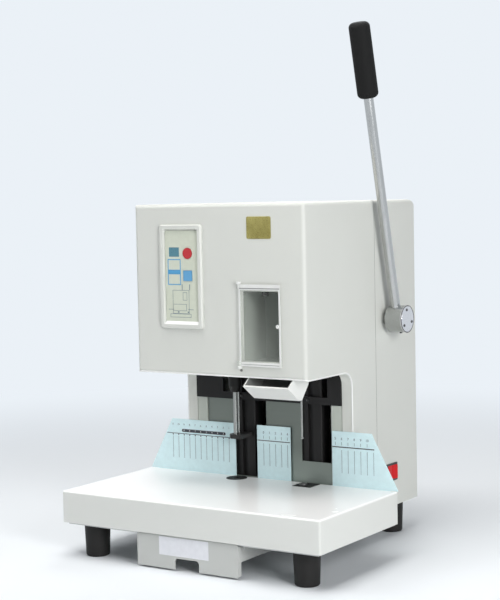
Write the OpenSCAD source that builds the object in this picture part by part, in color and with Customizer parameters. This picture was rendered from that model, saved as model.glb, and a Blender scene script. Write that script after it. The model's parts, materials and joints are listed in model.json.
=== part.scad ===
// Desk binding machine: a lever feeds a hollow paper drill and a hot rivet ram
// through a paper stack that stands against a scale plate at the back of the table.
// Millimetres, +Z up, front towards -Y, origin on the floor under the middle of the machine.

/* [Table] */
// Width of the table
table_w = 415; // [400:1:440]
// Depth of the table from its front edge to the scale plate
table_d = 207; // [195:1:225]
// Height of the table's down-turned wall
table_h = 44; // [38:1:52]
// Sheet thickness of the table pan
table_sheet = 2; // [1.5:0.1:2.6]
// Rounding along the table's top edges
table_edge_r = 3; // [2:0.5:4]
// Thickness of the base plate that carries the table and the column
base_t = 3; // [2:0.5:5]

/* [Feet] */
// Height of a foot, floor to base plate
foot_h = 45; // [38:1:55]
// Diameter of a foot at its top
foot_top_d = 36; // [32:1:40]
// Diameter of a foot at the floor
foot_low_d = 33; // [28:1:36]
// Rounding of a foot's lower edge
foot_round = 3; // [1:0.5:5]
// Front feet, distance from the middle
front_foot_x = 170; // [150:1:180]
// Front feet, distance behind the table's front edge
front_foot_in = 29.5; // [26:0.5:40]
// Rear feet, distance from the middle
rear_foot_x = 116; // [105:1:116]
// Rear feet, distance in front of the housing's back
rear_foot_in = 46; // [36:1:60]

/* [Housing] */
// Width of the head and column
housing_w = 276; // [272:1:290]
// Depth of the column behind the scale plate
column_d = 194.5; // [188:0.5:210]
// How far the head stands out in front of the column
head_reach = 119.4; // [112:0.1:130]
// Gap between the table top and the head's underside
throat_h = 159.2; // [157:0.1:163]
// Height of the head
head_h = 233.6; // [231:0.1:245]
// Sheet thickness of the shells
shell_t = 1.6; // [1.2:0.1:2.2]
// Rounding of the shell's upright and top edges
corner_r = 5; // [3:0.5:7]
// Rounding of the upper rear edge
rear_r = 20; // [12:1:26]
// Radius of the arch between head and column
arch_r = 20; // [12:1:26]
// Width of the shell's front-facing flange beside the throat
flange_w = 16.2; // [15:0.1:17]
// Seam between front and rear shell, distance behind the column's front
seam_back = 69.5; // [66:0.5:74]
// Gap at the seam
seam_gap = 0.4; // [0.3:0.1:0.8]
// How far the shell's lower edge hangs under the table wall
skirt = 3.4; // [3:0.1:4.5]

/* [Frame] */
// Gap between the side frames and the shell's flanges
frame_gap = 1; // [0.6:0.1:1.2]
// Thickness of the side frames' web
web_t = 3; // [2:0.5:4]
// Width of the side frames' front flange
strip_w = 16.5; // [14:0.1:16.7]
// Thickness of the side frames' front flange
strip_t = 2; // [1.5:0.1:2.5]
// Thickness of the grey front panel
panel_t = 1.5; // [1:0.1:2]
// Height of the cross plate's lower edge above the table
cross_low = 111; // [109:0.5:113]
// Thickness of the cross plate
cross_t = 2; // [1.5:0.1:2.2]
// Height of the band that ties the cross plate together
cross_band = 10; // [7:0.5:12]
// Thickness of the bridge that ties the guide columns at the top
bridge_t = 8; // [5:0.5:10]

/* [Scale plate] */
// Height of the scale plate above the table
plate_h = 75.7; // [70:0.1:80]
// Thickness of the scale plate
plate_t = 1.5; // [1.2:0.1:2]
// How far the plate's upper corners slant in
plate_slant = 40; // [30:1:48]
// Left edge of the drill gap from the drill axis
drill_gap_left = 12.4; // [11:0.1:16]
// Right edge of the drill gap from the drill axis
drill_gap_right = 25; // [22:0.5:28]
// Left edge of the rivet gap from the rivet axis
rivet_gap_left = 30.5; // [25:0.1:36]
// Right edge of the rivet gap from the rivet axis
rivet_gap_right = 37.6; // [32:0.1:42]
// How far the plate reaches down behind the table
plate_tail = 30; // [20:1:36]
// How far the plate's tail stays inside the table's ends
tail_in = 12; // [6:1:20]

/* [Tools] */
// Drill axis, distance left of the middle
drill_left = 43; // [40:0.5:46]
// Rivet axis, distance right of the middle
rivet_right = 68; // [66:0.5:71]
// Both tool axes, distance in front of the scale plate
tool_in = 17; // [15:0.5:18]
// Diameter of the hollow drill bit
bit_d = 6.3; // [4:0.1:7]
// Bore of the hollow drill bit
bit_bore = 4.6; // [2.5:0.1:5]
// Diameter of the chuck
chuck_d = 18; // [16.5:0.5:20]
// Length of the chuck
chuck_l = 34; // [28:1:38]
// Height of the chuck's lower rim above the table
chuck_up = 124; // [120:0.5:126]
// Diameter of the rivet ram in its heater
ram_d = 10; // [7:0.5:12]
// Diameter of the ram's slim pin
ram_pin_d = 3.4; // [2.6:0.1:5]
// Height of the ram's tip above the table
ram_up = 64; // [62:0.5:68]
// Height of the press foot's underside above the table
foot_up = 57.4; // [57.3:0.1:61]
// Thickness of the press foot
press_t = 6; // [4:0.5:9]
// Diameter of the press foot's rod
press_rod_d = 3; // [2.5:0.1:3.4]

/* [Feed] */
// Width of a guide column
guide_w = 36; // [34:0.5:37]
// Depth of a guide column
guide_d = 24; // [20:0.5:26]
// Distance from the column's front to the guide columns
guide_back = 5; // [4.5:0.1:6]
// Side and back wall of a slide block
block_wall = 12; // [9:0.5:12]
// Front wall of a slide block
block_front = 13.7; // [12.7:0.1:14.2]
// Height of a slide block
block_h = 120; // [116:1:124]
// Clearance between a guide column and its slide block
gib = 0.3; // [0.2:0.05:0.5]
// Gear module
gear_m = 2; // [1.9:0.05:2.1]
// Teeth on a pinion
gear_z = 36; // [34:1:37]
// Face width of pinions and racks
gear_w = 14; // [10:0.5:18]
// Backlash between a pinion and its rack
backlash = 0.3; // [0.2:0.05:0.4]
// Diameter of the cross shaft
shaft_d = 16; // [12:0.5:18]
// Running clearance of shafts and pins
run_gap = 0.05; // [0.03:0.01:0.08]
// Cross shaft, distance behind the column's front
shaft_back = 100.3; // [99:0.1:103]
// Cross shaft, height above the table
shaft_up = 224.8; // [222:0.1:228]

/* [Lever] */
// Forward lean of the lever at rest, degrees
lever_lean = 13.7; // [5:0.1:20]
// Lever length from the shaft axis to the grip's end
lever_l = 419; // [380:1:450]
// Diameter of the lever rod
rod_d = 13.5; // [11:0.5:15]
// Length of the grip
grip_l = 103; // [85:1:125]
// Diameter of the grip
grip_d = 29; // [24:0.5:31]
// Diameter of the hub
hub_d = 38; // [32:0.5:44]
// Length of the hub with its cap
hub_l = 27.2; // [25:0.1:32]
// Gap between the hub and the shell
hub_gap = 7.5; // [5:0.5:10]
// Lever rod, distance from the hub's inner face
rod_in = 10.6; // [9:0.1:13]

/* [Window] */
// Left edge of the window opening
window_left = 40.5; // [38:0.5:46]
// Width of the window opening
window_w = 56.4; // [50:0.1:58]
// Height of the window opening
window_h = 93.2; // [85:0.1:98]
// Window opening, distance above the head's underside
window_up = 23.3; // [18:0.1:30]
// How far the door overlaps the opening at the sides
door_lap = 4.7; // [4:0.1:6]
// How far the door reaches above the opening
door_above = 9.3; // [8:0.1:11]
// How far the door reaches below the opening
door_below = 7; // [6:0.1:8]
// How far the door's rim stands out of its pane
rim_proud = 1; // [0.6:0.1:1.6]
// Thickness of the door
door_t = 2.2; // [1.6:0.1:3]
// Depth of the tube compartment
tube_box_d = 58; // [45:1:64]

/* [Panel] */
// Left edge of the control panel's frame
panel_left = 93.5; // [88:0.5:98]
// Width of the control panel's frame
panel_w = 70; // [62:0.5:78]
// Height of the control panel's frame
panel_h = 142.5; // [130:0.5:150]
// Panel frame, distance below the head's top
panel_down = 27.8; // [20:0.1:36]
// Width of the frame's border
border = 8; // [6:0.5:10]
// How far the frame stands out
frame_proud = 4; // [2.5:0.5:6]
// How far a key stands out of the overlay
key_proud = 1; // [0.8:0.1:1.5]

/* [Tray] */
// Left edge of the catch tray
tray_left = 43; // [40:1:48]
// Width of the catch tray
tray_w = 71; // [60:1:74]
// Sheet thickness of the catch tray
tray_t = 1.5; // [1:0.1:2]
// How far the tray's rim stands out in front of the head
tray_out = 7.6; // [4:0.1:12]
// Depth of the tray under the head
tray_drop = 29.2; // [24:0.1:36]

/* [Drawer] */
// Width of the drawer's front
drawer_w = 163; // [140:1:175]
// Height of the drawer's front
drawer_h = 43.5; // [38:0.5:44]
// Depth of the drawer box
drawer_d = 196; // [190:1:202]
// Height of the drawer box
box_h = 22; // [18:0.5:26]
// Sheet thickness of the drawer
drawer_t = 1.2; // [1:0.1:1.6]
// Drawer front, distance behind the table's front edge
drawer_in = 4.5; // [3:0.5:10]
// Width of the finger notch
notch_w = 39; // [30:1:46]
// Height of the finger notch
notch_h = 15; // [11:0.5:18]

/* [Switch and inlet] */
// Width of the power switch
switch_w = 31; // [29:0.5:33]
// Height of the power switch
switch_h = 25.6; // [24:0.1:28]
// Switch, distance behind the column's front to its middle
switch_back = 111; // [100:0.5:120]
// Switch, height of its middle above the table
switch_up = 2.3; // [0:0.1:8]
// Width of the inlet's flange
inlet_w = 48; // [46:0.5:52]
// Height of the inlet's flange
inlet_h = 28; // [27:0.5:32]
// Thickness of the inlet's flange
inlet_t = 2; // [1:0.5:3]
// Inlet, distance left of the middle
inlet_left = 70; // [50:1:90]
// Number of cooling slots in a row
vent_n = 9; // [5:1:12]
// Length of a cooling slot
vent_l = 60; // [40:1:80]

/* [Hidden] */
$fn = 48;

// Clearance between pieces that sit beside each other without touching
slip = 0.3;
// Overshoot of cutting solids
over = 1;
// Radial gap of pieces pressed on each other
press_gap = 0.02;

// Depths from front to back
total_d = table_d + plate_t + column_d + inlet_t;
y_front = -total_d / 2;
y_plate = y_front + table_d;
y_col = y_plate + plate_t;
y_back = y_col + column_d;
y_head = y_col - head_reach;
y_seam = y_col + seam_back;
y_tool = y_plate - tool_in;

// Heights from the floor up
z_base = foot_h + base_t;
z_table = z_base + table_h;
z_skirt = z_base - skirt;
z_head = z_table + throat_h;
z_top = z_head + head_h;

// Widths
table_x = table_w / 2;
shell_x = housing_w / 2;
throat_x = shell_x - flange_w;
web_x = throat_x - frame_gap;
x_drill = -drill_left;
x_rivet = rivet_right;

// Cross shaft and feed
shaft_y = y_col + shaft_back;
shaft_z = z_table + shaft_up;
pitch_r = gear_m * gear_z / 2;
tooth_p = PI * gear_m;
ring_up = 0.4;
turn_deg = min(90, (foot_up - ring_up - slip) / pitch_r * 180 / PI);
feed = pitch_r * turn_deg * PI / 180;
rack_y = shaft_y - pitch_r;

// Guide columns and slide blocks
guide_y0 = y_col + guide_back;
guide_y1 = guide_y0 + guide_d;
block_x = guide_w / 2 + block_wall - gib;
block_y0 = guide_y0 - block_front;
block_y1 = guide_y1 + block_wall - gib;
block_up = 24;
block_z0 = z_head + block_up;
block_z1 = block_z0 + block_h;
arm_h = 25;
arm_x = 21;
arm_front = 19;
arm_y0 = y_tool - arm_front;
bridge_down = 24;
bridge_z = z_top - shell_t - bridge_down;

// Spindle drive
spindle_r = 7;
deck_t = 10;
deck_z = block_z1 - deck_t;
motor_front = 52;
motor_y = y_tool - motor_front;
motor_r = 22;
motor_l = 74;
motor_shaft_r = 2.5;
pulley_z = block_z1 + 3;
pulley_h = 10;
spindle_pulley_r = 9.5;
motor_pulley_r = 7;
belt_t = 1.6;
belt_gap = 0.15;

// Press foot rod beside the chuck
press_left = 3.5;
press_back = 13.7;
press_x = x_drill - press_left;
press_y = y_tool + press_back;
press_z = z_table + foot_up;
collar_t = 4;
collar_r = 3.4;
collar_z = block_z0 + arm_h + slip;
spring_gap = 0.4;

// Lever parts
lever_x0 = shell_x + hub_gap;
cap_t = 2.5;
lever_mid = lever_x0 + rod_in;

// Window door and its hinge
window_z = z_head + window_up;
door_x0 = window_left - door_lap;
door_x1 = window_left + window_w + door_lap;
door_z0 = window_z - door_below;
door_z1 = window_z + window_h + door_above;
door_y1 = y_head - slip;
door_y0 = door_y1 - door_t;
hinge_r = 1.5;
hinge_x = door_x0;
ear_r = 3;
hinge_y = y_head - ear_r - slip;
ear_h = 6;

// Control panel
panel_x0 = -panel_left;
panel_x1 = panel_x0 + panel_w;
panel_z1 = z_top - panel_down;
panel_z0 = panel_z1 - panel_h;
overlay_t = 1;
red_r = 7.4;
red_in = 24.4;
red_down = 39.3;
red_x = panel_x1 - red_in;
red_z = panel_z1 - red_down;
key_pitch = 30.5;
blue_s = 14;
blue_x = red_x;
blue_z = red_z - key_pitch;

// Drawer
drawer_y = y_front + drawer_in;
drawer_z1 = z_base - 2;
box_z1 = foot_h - 1.2;
runner_t = 1.5;
rail_w = 4;
rail_z = box_z1 - 2 - drawer_t / 2;
rail_start = 8;

// Switch
switch_y = y_col + switch_back;
switch_z = z_table + switch_up;
switch_lip = 1.4;
switch_wall = 2.6;

// Inlet
inlet_ear = 10;
inlet_lip = 4;
inlet_wall = 2;

// Axis-aligned box between two corners
module box(x0, x1, y0, y1, z0, z1) {
    translate([x0, y0, z0]) cube([x1 - x0, y1 - y0, z1 - z0]);
}

// Flat rectangle with round corners
module round_rect(u0, u1, v0, v1, r) {
    translate([u0 + r, v0]) square([u1 - u0 - 2 * r, v1 - v0]);
    translate([u0, v0 + r]) square([u1 - u0, v1 - v0 - 2 * r]);
    for (u = [u0 + r, u1 - r])
        for (v = [v0 + r, v1 - r])
            translate([u, v]) circle(r);
}

// Flat rectangle about a point, by its half width and half height
module rect_at(u, v, half_w, half_h) {
    translate([u - half_w, v - half_h]) square([2 * half_w, 2 * half_h]);
}

// Extrusion of a (y, z) outline along x
module along_x(x0, x1) {
    translate([x0, 0, 0]) rotate([90, 0, 90]) linear_extrude(x1 - x0) children();
}

// Extrusion of an (x, z) outline along y
module along_y(y0, y1) {
    translate([0, y1, 0]) rotate([90, 0, 0]) linear_extrude(y1 - y0) children();
}

// Extrusion of an (x, y) outline along z
module along_z(z0, z1) {
    translate([0, 0, z0]) linear_extrude(z1 - z0) children();
}

// Upright cylinder between two heights
module post(x, y, z0, z1, r) {
    translate([x, y, z0]) cylinder(h = z1 - z0, r = r);
}

// Cylinder along x at the cross shaft's axis
module on_shaft(x0, x1, r) {
    translate([x0, shaft_y, shaft_z]) rotate([0, 90, 0]) cylinder(h = x1 - x0, r = r);
}

// Cylinder along y
module bar_y(x, z, y0, y1, r) {
    translate([x, y1, z]) rotate([90, 0, 0]) cylinder(h = y1 - y0, r = r);
}

// Round coil of wire as one tube, climbing from z0 to z1
module coil(x, y, z0, z1, r, wire_r, turns) {
    sides = 6;
    steps = 8;
    n = turns * steps;
    rise = (z1 - z0 - 2 * wire_r) / n;
    echo(str("least gap between coils ", rise * steps - 2 * wire_r));
    points = [for (i = [0 : n]) for (k = [0 : sides - 1])
        let (a = i * 360 / steps, b = k * 360 / sides, q = r + wire_r * cos(b))
        [x + q * cos(a), y + q * sin(a), z0 + wire_r + i * rise + wire_r * sin(b)]];
    walls = [for (i = [0 : n - 1]) for (k = [0 : sides - 1])
        let (p = i * sides + k, q = i * sides + (k + 1) % sides)
        each [[p, p + sides, q], [q, p + sides, q + sides]]];
    low_cap = [for (k = [1 : sides - 2]) [0, k, k + 1]];
    top = n * sides;
    high_cap = [for (k = [1 : sides - 2]) [top, top + k + 1, top + k]];
    polyhedron(points, concat(walls, low_cap, high_cap));
}

// Housing

// Side outline of the housing, drawn in by a wall
module housing_side(wall) {
    top_r = corner_r - wall;
    back_r = rear_r - wall;
    y0 = y_head + wall;
    y1 = y_back - wall;
    z0 = z_head + wall;
    z1 = z_top - wall;
    yc = y_col + wall;
    difference() {
        union() {
            round_rect(y0, y0 + 4 * corner_r, z0, z1, top_r);
            translate([y0 + corner_r, z0]) square([y1 - back_r - y0 - corner_r, z1 - z0]);
            translate([y1 - back_r - over, z0]) square([back_r + over, z1 - z0 - back_r]);
            translate([y1 - back_r, z1 - back_r]) circle(back_r);
            translate([yc, z_skirt - wall * over]) square([y1 - yc, z0 - z_skirt + wall * over + over]);
            translate([yc - arch_r, z0 - arch_r]) square([arch_r + over, arch_r + over]);
        }
        translate([yc - arch_r, z0 - arch_r]) circle(arch_r);
    }
}

// Housing as a solid, drawn in by a wall
module housing(wall) {
    r = corner_r - wall;
    x = shell_x - wall;
    intersection() {
        along_x(-x, x) housing_side(wall);
        along_z(z_skirt - over, z_top) round_rect(-x, x, y_head + wall, y_back - wall, r);
        along_y(y_head, y_back) round_rect(-x, x, z_skirt - 2 * corner_r, z_top - wall, r);
    }
}

// Sheet housing with its throat and lower end open
module housing_sheet() {
    floor_end = 30;
    difference() {
        housing(0);
        housing(shell_t);
        box(-throat_x, throat_x, y_tool - floor_end, y_col + arch_r, z_skirt - over, z_head + 2 * shell_t);
    }
}

// Front shell: head face, cheeks and flanges, with the window opening
module front_shell() {
    color("whitesmoke") difference() {
        housing_sheet();
        box(-shell_x - over, shell_x + over, y_seam - seam_gap, y_back + over,
            z_skirt - over, z_top + over);
        along_y(y_head - over, y_head + 2 * shell_t)
            round_rect(window_left, window_left + window_w, window_z, window_z + window_h, 2);
    }
}

// Rear shell with cooling slots, shaft hole, and cut-outs for switch and inlet
module rear_shell() {
    slot_w = 4;
    pitch = 9;
    vent_x = 65;
    vent_up = 60;
    vent_z = z_head + vent_up;
    vent_r = slot_w / 2 - 0.01;
    shaft_room = 0.8;
    color("whitesmoke") difference() {
        housing_sheet();
        box(-shell_x - over, shell_x + over, y_head - over, y_seam, z_skirt - over, z_top + over);
        on_shaft(shell_x - 2 * shell_t, shell_x + over, shaft_d / 2 + shaft_room);
        along_x(shell_x - 2 * shell_t, shell_x + over)
            rect_at(switch_y, switch_z, switch_w / 2 - switch_lip, switch_h / 2 - switch_lip);
        along_y(y_back - 2 * shell_t, y_back + over)
            rect_at(-inlet_left, z_table, inlet_w / 2 - inlet_ear, inlet_h / 2 - inlet_lip);
        for (i = [0 : vent_n - 1])
            for (x = [-vent_x, vent_x])
                translate([x, 0, vent_z + i * pitch]) along_y(y_back - 2 * shell_t, y_back + over)
                    round_rect(-vent_l / 2, vent_l / 2, 0, slot_w, vent_r);
    }
}

// Table and base

// Table pan with rounded edges, an in-turned lip that rests on the base plate,
// and seats for the cutting ring and the die insert
table_lip = 16;
module table_top() {
    color("white") difference() {
        intersection() {
            along_z(z_base, z_table) round_rect(-table_x, table_x, y_front, y_plate, table_edge_r);
            along_x(-table_x, table_x)
                round_rect(y_front, y_plate, z_base - 2 * table_edge_r, z_table, table_edge_r);
            along_y(y_front, y_plate)
                round_rect(-table_x, table_x, z_base - 2 * table_edge_r, z_table, table_edge_r);
        }
        box(-table_x + table_sheet, table_x - table_sheet, y_front + table_sheet, y_plate - table_sheet,
            z_base + table_sheet, z_table - table_sheet);
        box(-table_x + table_lip, table_x - table_lip, y_front + table_lip, y_plate - table_sheet,
            z_base - over, z_base + 2 * table_sheet);
        post(x_drill, y_tool, z_base, z_table + over, ring_r + slip);
        along_z(z_base, z_table + over) insert_outline(slip);
    }
}

// Outline of the die insert, grown by a clearance
insert_left = 9.5;
insert_right = 20;
insert_front = 15;
insert_back = 14;
insert_r = 1.5;
module insert_outline(grow) {
    round_rect(x_rivet - insert_left - grow, x_rivet + insert_right + grow,
        y_tool - insert_front - grow, y_tool + insert_back + grow, insert_r + grow);
}

// Base plate under table and column, with slots for the shell's flanges and the chip hole
foot_screw_r = 3;
chip_r = 12;
module base_plate() {
    x = shell_x - shell_t - slip;
    inset = 6;
    y0 = drawer_y + drawer_t + 2 * slip;
    color("gray") difference() {
        union() {
            box(-table_x + inset, table_x - inset, y0, y_col, foot_h, z_base);
            along_z(foot_h, z_base)
                round_rect(-x, x, y_col - 2 * corner_r, y_back - shell_t - slip, corner_r);
        }
        for (side = [-1, 1])
            box(side > 0 ? throat_x - over : -shell_x - over, side > 0 ? shell_x + over : -throat_x + over,
                y_col - slip, y_col + shell_t + slip, foot_h - over, z_base + over);
        post(x_drill, y_tool, foot_h - over, z_base + over, chip_r);
        foot_places() post(0, 0, foot_h - over, z_base + over, foot_screw_r + slip);
    }
}

// Places of the four feet
module foot_places() {
    for (side = [-1, 1]) {
        translate([side * front_foot_x, y_front + front_foot_in, 0]) children();
        translate([side * rear_foot_x, y_back - rear_foot_in, 0]) children();
    }
}

// Tapered rubber feet with a screw recess in the underside
recess = 12;
recess_r = 8;
module feet() {
    r0 = foot_low_d / 2;
    r1 = foot_top_d / 2;
    color("#242222") foot_places() difference() {
        rotate_extrude() union() {
            polygon([[0, 0], [r0 - foot_round, 0], [r0, foot_round], [r1, foot_h], [0, foot_h]]);
            intersection() {
                translate([r0 - foot_round, foot_round]) circle(foot_round);
                square([r0, foot_round]);
            }
        }
        post(0, 0, -over, recess, recess_r);
        post(0, 0, 0, foot_h + over, foot_screw_r + slip);
    }
}

// Inner frame

// Side frame: an upright web with a flange that shows beside the throat
web_d = column_d - 30;
strip_rise = 40;
module side_frame(side) {
    color("gainsboro") difference() {
        union() {
            box(side > 0 ? web_x - web_t : -web_x, side > 0 ? web_x : -web_x + web_t,
                y_col, y_col + web_d, z_base, bridge_z + bridge_t);
            box(side > 0 ? web_x - strip_w : -web_x, side > 0 ? web_x : -web_x + strip_w,
                y_col, y_col + strip_t, z_base, z_head + strip_rise);
        }
        on_shaft(side * web_x - 2 * web_t, side * web_x + 2 * web_t, bush_r);
        if (side < 0)
            stop_rod(-web_x - over, -web_x + web_t + over);
    }
}
module side_frame_left() side_frame(-1);
module side_frame_right() side_frame(1);

// Bridge that ties the upper ends of frames and guide columns
module top_bridge() {
    x = web_x - web_t;
    front = 4;
    back = 26;
    color("dimgray") box(-x, x, guide_y0 - front, guide_y1 + back, bridge_z, bridge_z + bridge_t);
}

// Grey front panel behind the flanges, open at the drill and rivet columns
opening_left = 16;
opening_right = 39;
rivet_open_left = 13.1;
sill = 29.4;
panel_top = 119;
module front_panel() {
    x = web_x - web_t - slip;
    color("darkgray") difference() {
        box(-x, x, y_col + strip_t, y_col + strip_t + panel_t, z_base, z_table + panel_top);
        box(x_drill - opening_left, x_drill + opening_right, y_col, guide_y0,
            z_table, z_table + panel_top + over);
        box(x_rivet - rivet_open_left, web_x - strip_w + over, y_col, guide_y0,
            z_table + sill, z_table + panel_top + over);
    }
}

// Black cross plate, notched where the slide blocks come down
module cross_plate() {
    z0 = z_table + cross_low;
    ease = 2;
    cross_rise = 10;
    color("#232121") difference() {
        box(-throat_x + slip, throat_x - slip, y_col - cross_t, y_col, z0, z_head + cross_rise);
        for (x = [x_drill, x_rivet])
            box(x - block_x - ease, x + block_x + ease, y_col - cross_t - over, y_col + over,
                z0 + cross_band, z_head + 2 * cross_rise);
    }
}

// Upright guide column with a front groove
groove_w = 8;
groove_d = 4;
module guide(x) {
    color("#262424") difference() {
        along_z(z_base, bridge_z) difference() {
            round_rect(x - guide_w / 2, x + guide_w / 2, guide_y0, guide_y1, 2);
            translate([x - groove_w / 2, guide_y0 - over]) square([groove_w, groove_d + over]);
        }
    }
}
module drill_guide() guide(x_drill);
module rivet_guide() guide(x_rivet);

// Flanged bushes of the cross shaft
bush_r = 11;
bush_lip = 3;
module shaft_bushes() {
    color("darkgoldenrod") for (side = [-1, 1]) difference() {
        union() {
            on_shaft(side * web_x - web_t - over, side * web_x + web_t + over, bush_r);
            on_shaft(side > 0 ? web_x - web_t - bush_lip : -web_x + web_t,
                side > 0 ? web_x - web_t : -web_x + web_t + bush_lip, bush_r + bush_lip);
        }
        on_shaft(side * web_x - 3 * web_t, side * web_x + 3 * web_t, shaft_d / 2 + run_gap);
    }
}

// Bar that the stop collar rests against
stop_r = 4;
lug_w = 8;
lug_r = 23;
stop_y = shaft_y + lug_w / 2 + slip + stop_r;
stop_z = shaft_z + 19;
stop_l = 34;
module stop_rod(x0, x1) {
    translate([x0, stop_y, stop_z]) rotate([0, 90, 0]) cylinder(h = x1 - x0, r = stop_r);
}
module stop_bar() {
    color("silver") stop_rod(-web_x, -web_x + stop_l);
}

// Stations in the table

// Plastic ring that the bit cuts against
ring_r = 15;
ring_t = 10;
cut_gap = 0.45;
module cutting_ring() {
    color("#1c1b1b") difference() {
        post(x_drill, y_tool, z_table + ring_up - ring_t, z_table + ring_up, ring_r);
        post(x_drill, y_tool, z_table - 2 * ring_t, z_table + over, bit_d / 2 + cut_gap);
        post(x_drill, y_tool, z_table - 2 * ring_t, z_table + ring_up - ring_t / 2, ring_r - 6);
    }
}

// Tube that carries the ring and leads chips down to the drawer
module chip_tube() {
    color("gray") difference() {
        post(x_drill, y_tool, z_base, z_table + ring_up - ring_t, ring_r);
        post(x_drill, y_tool, z_base - over, z_table, chip_r);
    }
}

// Black insert round the lower rivet die
insert_t = 4;
insert_up = 0.2;
module die_insert() {
    color("#1f1d1d") difference() {
        along_z(z_table - insert_t, z_table + insert_up) insert_outline(0);
        post(x_rivet, y_tool, z_base, z_table + over, die_r + slip);
    }
}

// Lower rivet die on its heated body
die_r = 6;
die_body_r = 12;
die_up = 2;
die_cup_r = 2.5;
module lower_die() {
    color("slategray") difference() {
        union() {
            post(x_rivet, y_tool, z_base, z_table - insert_t, die_body_r);
            post(x_rivet, y_tool, z_base, z_table + die_up, die_r);
        }
        post(x_rivet, y_tool, z_table - over, z_table + die_up + over, die_cup_r);
    }
}

// Scale plates behind the table: left, middle and right
module scale_plates() {
    z0 = z_table - plate_tail;
    z1 = z_table + plate_h;
    left = x_drill - drill_gap_left;
    right = x_rivet + rivet_gap_right;
    tail = table_x - tail_in;
    color("lightblue") along_y(y_plate, y_col) {
        polygon([[-tail, z0], [left, z0], [left, z1], [-table_x + plate_slant, z1],
            [-table_x, z_table], [-tail, z_table]]);
        translate([x_drill + drill_gap_right, z0])
            square([x_rivet - rivet_gap_left - x_drill - drill_gap_right, z1 - z0]);
        polygon([[right, z0], [tail, z0], [tail, z_table], [table_x, z_table],
            [table_x - plate_slant, z1], [right, z1]]);
    }
}

// Head fittings

// Outline of the catch tray in (y, z): slanted front, short floor, steep back with a knee,
// and end walls that rise from the lip to the head; the hollow is the same shape moved up and in
tray_front = 27;
tray_floor = 7.5;
tray_back = 46;
tray_rim = 10.6;
tray_end = 13.4;
tray_flange = 10;
knee_y = 2;
knee_z = 9.5;
module tray_outline(up, in) {
    y0 = y_head - tray_out;
    y1 = y0 + tray_front;
    y2 = y1 + tray_floor;
    y3 = y_head + tray_back;
    z0 = z_head - tray_drop;
    translate([0, up])
        polygon([[y0, z_head - tray_rim], [y1, z0], [y2, z0], [y3 - knee_y - in, z_head - knee_z],
            [y3 - in, z_head], [y0 + tray_end, z_head]]);
}

// Catch tray: a bent trough with closed ends, hung from the head's underside
module catch_tray() {
    x0 = tray_left;
    x1 = tray_left + tray_w;
    y3 = y_head + tray_back;
    color("white") union() {
        difference() {
            along_x(x0, x1) tray_outline(0, 0);
            along_x(x0 + tray_t, x1 - tray_t) tray_outline(2 * tray_t, tray_t);
        }
        box(x0, x1, y3 - 2 * tray_t, y3 + tray_flange, z_head - tray_t, z_head);
    }
}

// Sheet compartment for rivet tubes behind the window
module tube_box() {
    t = 1.2;
    room = 2;
    x0 = window_left - room;
    x1 = window_left + window_w + room;
    z0 = window_z - room;
    z1 = window_z + window_h + room;
    y0 = y_head + shell_t;
    color("lightgray") difference() {
        box(x0 - t, x1 + t, y0, y0 + tube_box_d, z0 - t, z1 + t);
        box(x0, x1, y0 - over, y0 + tube_box_d - t, z0, z1);
    }
}

// Pegs on the head face that carry the door's hinge pins
peg_h = 3.2;
peg_w = 4;
module hinge_pegs() {
    color("white") for (end = [-1, 1]) {
        z = end > 0 ? door_z1 + slip : door_z0 - slip - peg_h;
        post(hinge_x, hinge_y, z, z + peg_h, ear_r);
        box(hinge_x - peg_w / 2, hinge_x + peg_w / 2, hinge_y, y_head, z, z + peg_h);
        pin = end > 0 ? z - ear_h : z + peg_h - over;
        post(hinge_x, hinge_y, pin, pin + ear_h + over, hinge_r);
    }
}

// Clear door with a raised rim, two ears on the hinge pins and a pull knob
module door_pane() {
    knob_l = 5;
    knob_r = 2.5;
    neck_r = 1.8;
    knob_x = door_x1 - knob_r;
    knob_z = (door_z0 + door_z1) / 2;
    rim = 3;
    top_rim = 6;
    color("lightcyan", 0.4) difference() {
        union() {
            along_y(door_y0, door_y1) round_rect(door_x0, door_x1, door_z0, door_z1, 2);
            along_y(door_y0 - rim_proud, door_y1) difference() {
                round_rect(door_x0, door_x1, door_z0, door_z1, 2);
                round_rect(door_x0 + rim, door_x1 - rim, door_z0 + top_rim, door_z1 - top_rim, 1);
            }
            for (z = [door_z0, door_z1 - ear_h])
                post(hinge_x, hinge_y, z, z + ear_h, ear_r);
            bar_y(knob_x, knob_z, door_y0 - knob_l, door_y0, neck_r);
            bar_y(knob_x, knob_z, door_y0 - knob_l, door_y0 - knob_l / 2, knob_r);
        }
        for (z = [door_z0 - over, door_z1 - ear_h])
            post(hinge_x, hinge_y, z, z + ear_h + over, hinge_r + run_gap);
    }
}

// Thin slice of the control panel's outline at a depth, drawn in by a distance
module panel_slice(y, in, r) {
    thin = 0.01;
    along_y(y - thin, y) round_rect(panel_x0 + in, panel_x1 - in, panel_z0 + in, panel_z1 - in, r);
}

// Raised frame of the control panel, bevelled to the outside and sloped down to the overlay
module panel_frame() {
    bevel = 1.5;
    slope = 2.5;
    outer_r = 4;
    inner_r = 2;
    y0 = y_head - frame_proud;
    color("whitesmoke") difference() {
        hull() {
            panel_slice(y_head, 0, outer_r);
            panel_slice(y0 + bevel, 0, outer_r);
            panel_slice(y0, bevel, outer_r);
        }
        hull() {
            panel_slice(y_head + over, border, inner_r);
            panel_slice(y_head - overlay_t, border, inner_r);
            panel_slice(y0 - over, border - slope, inner_r);
        }
    }
}

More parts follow.
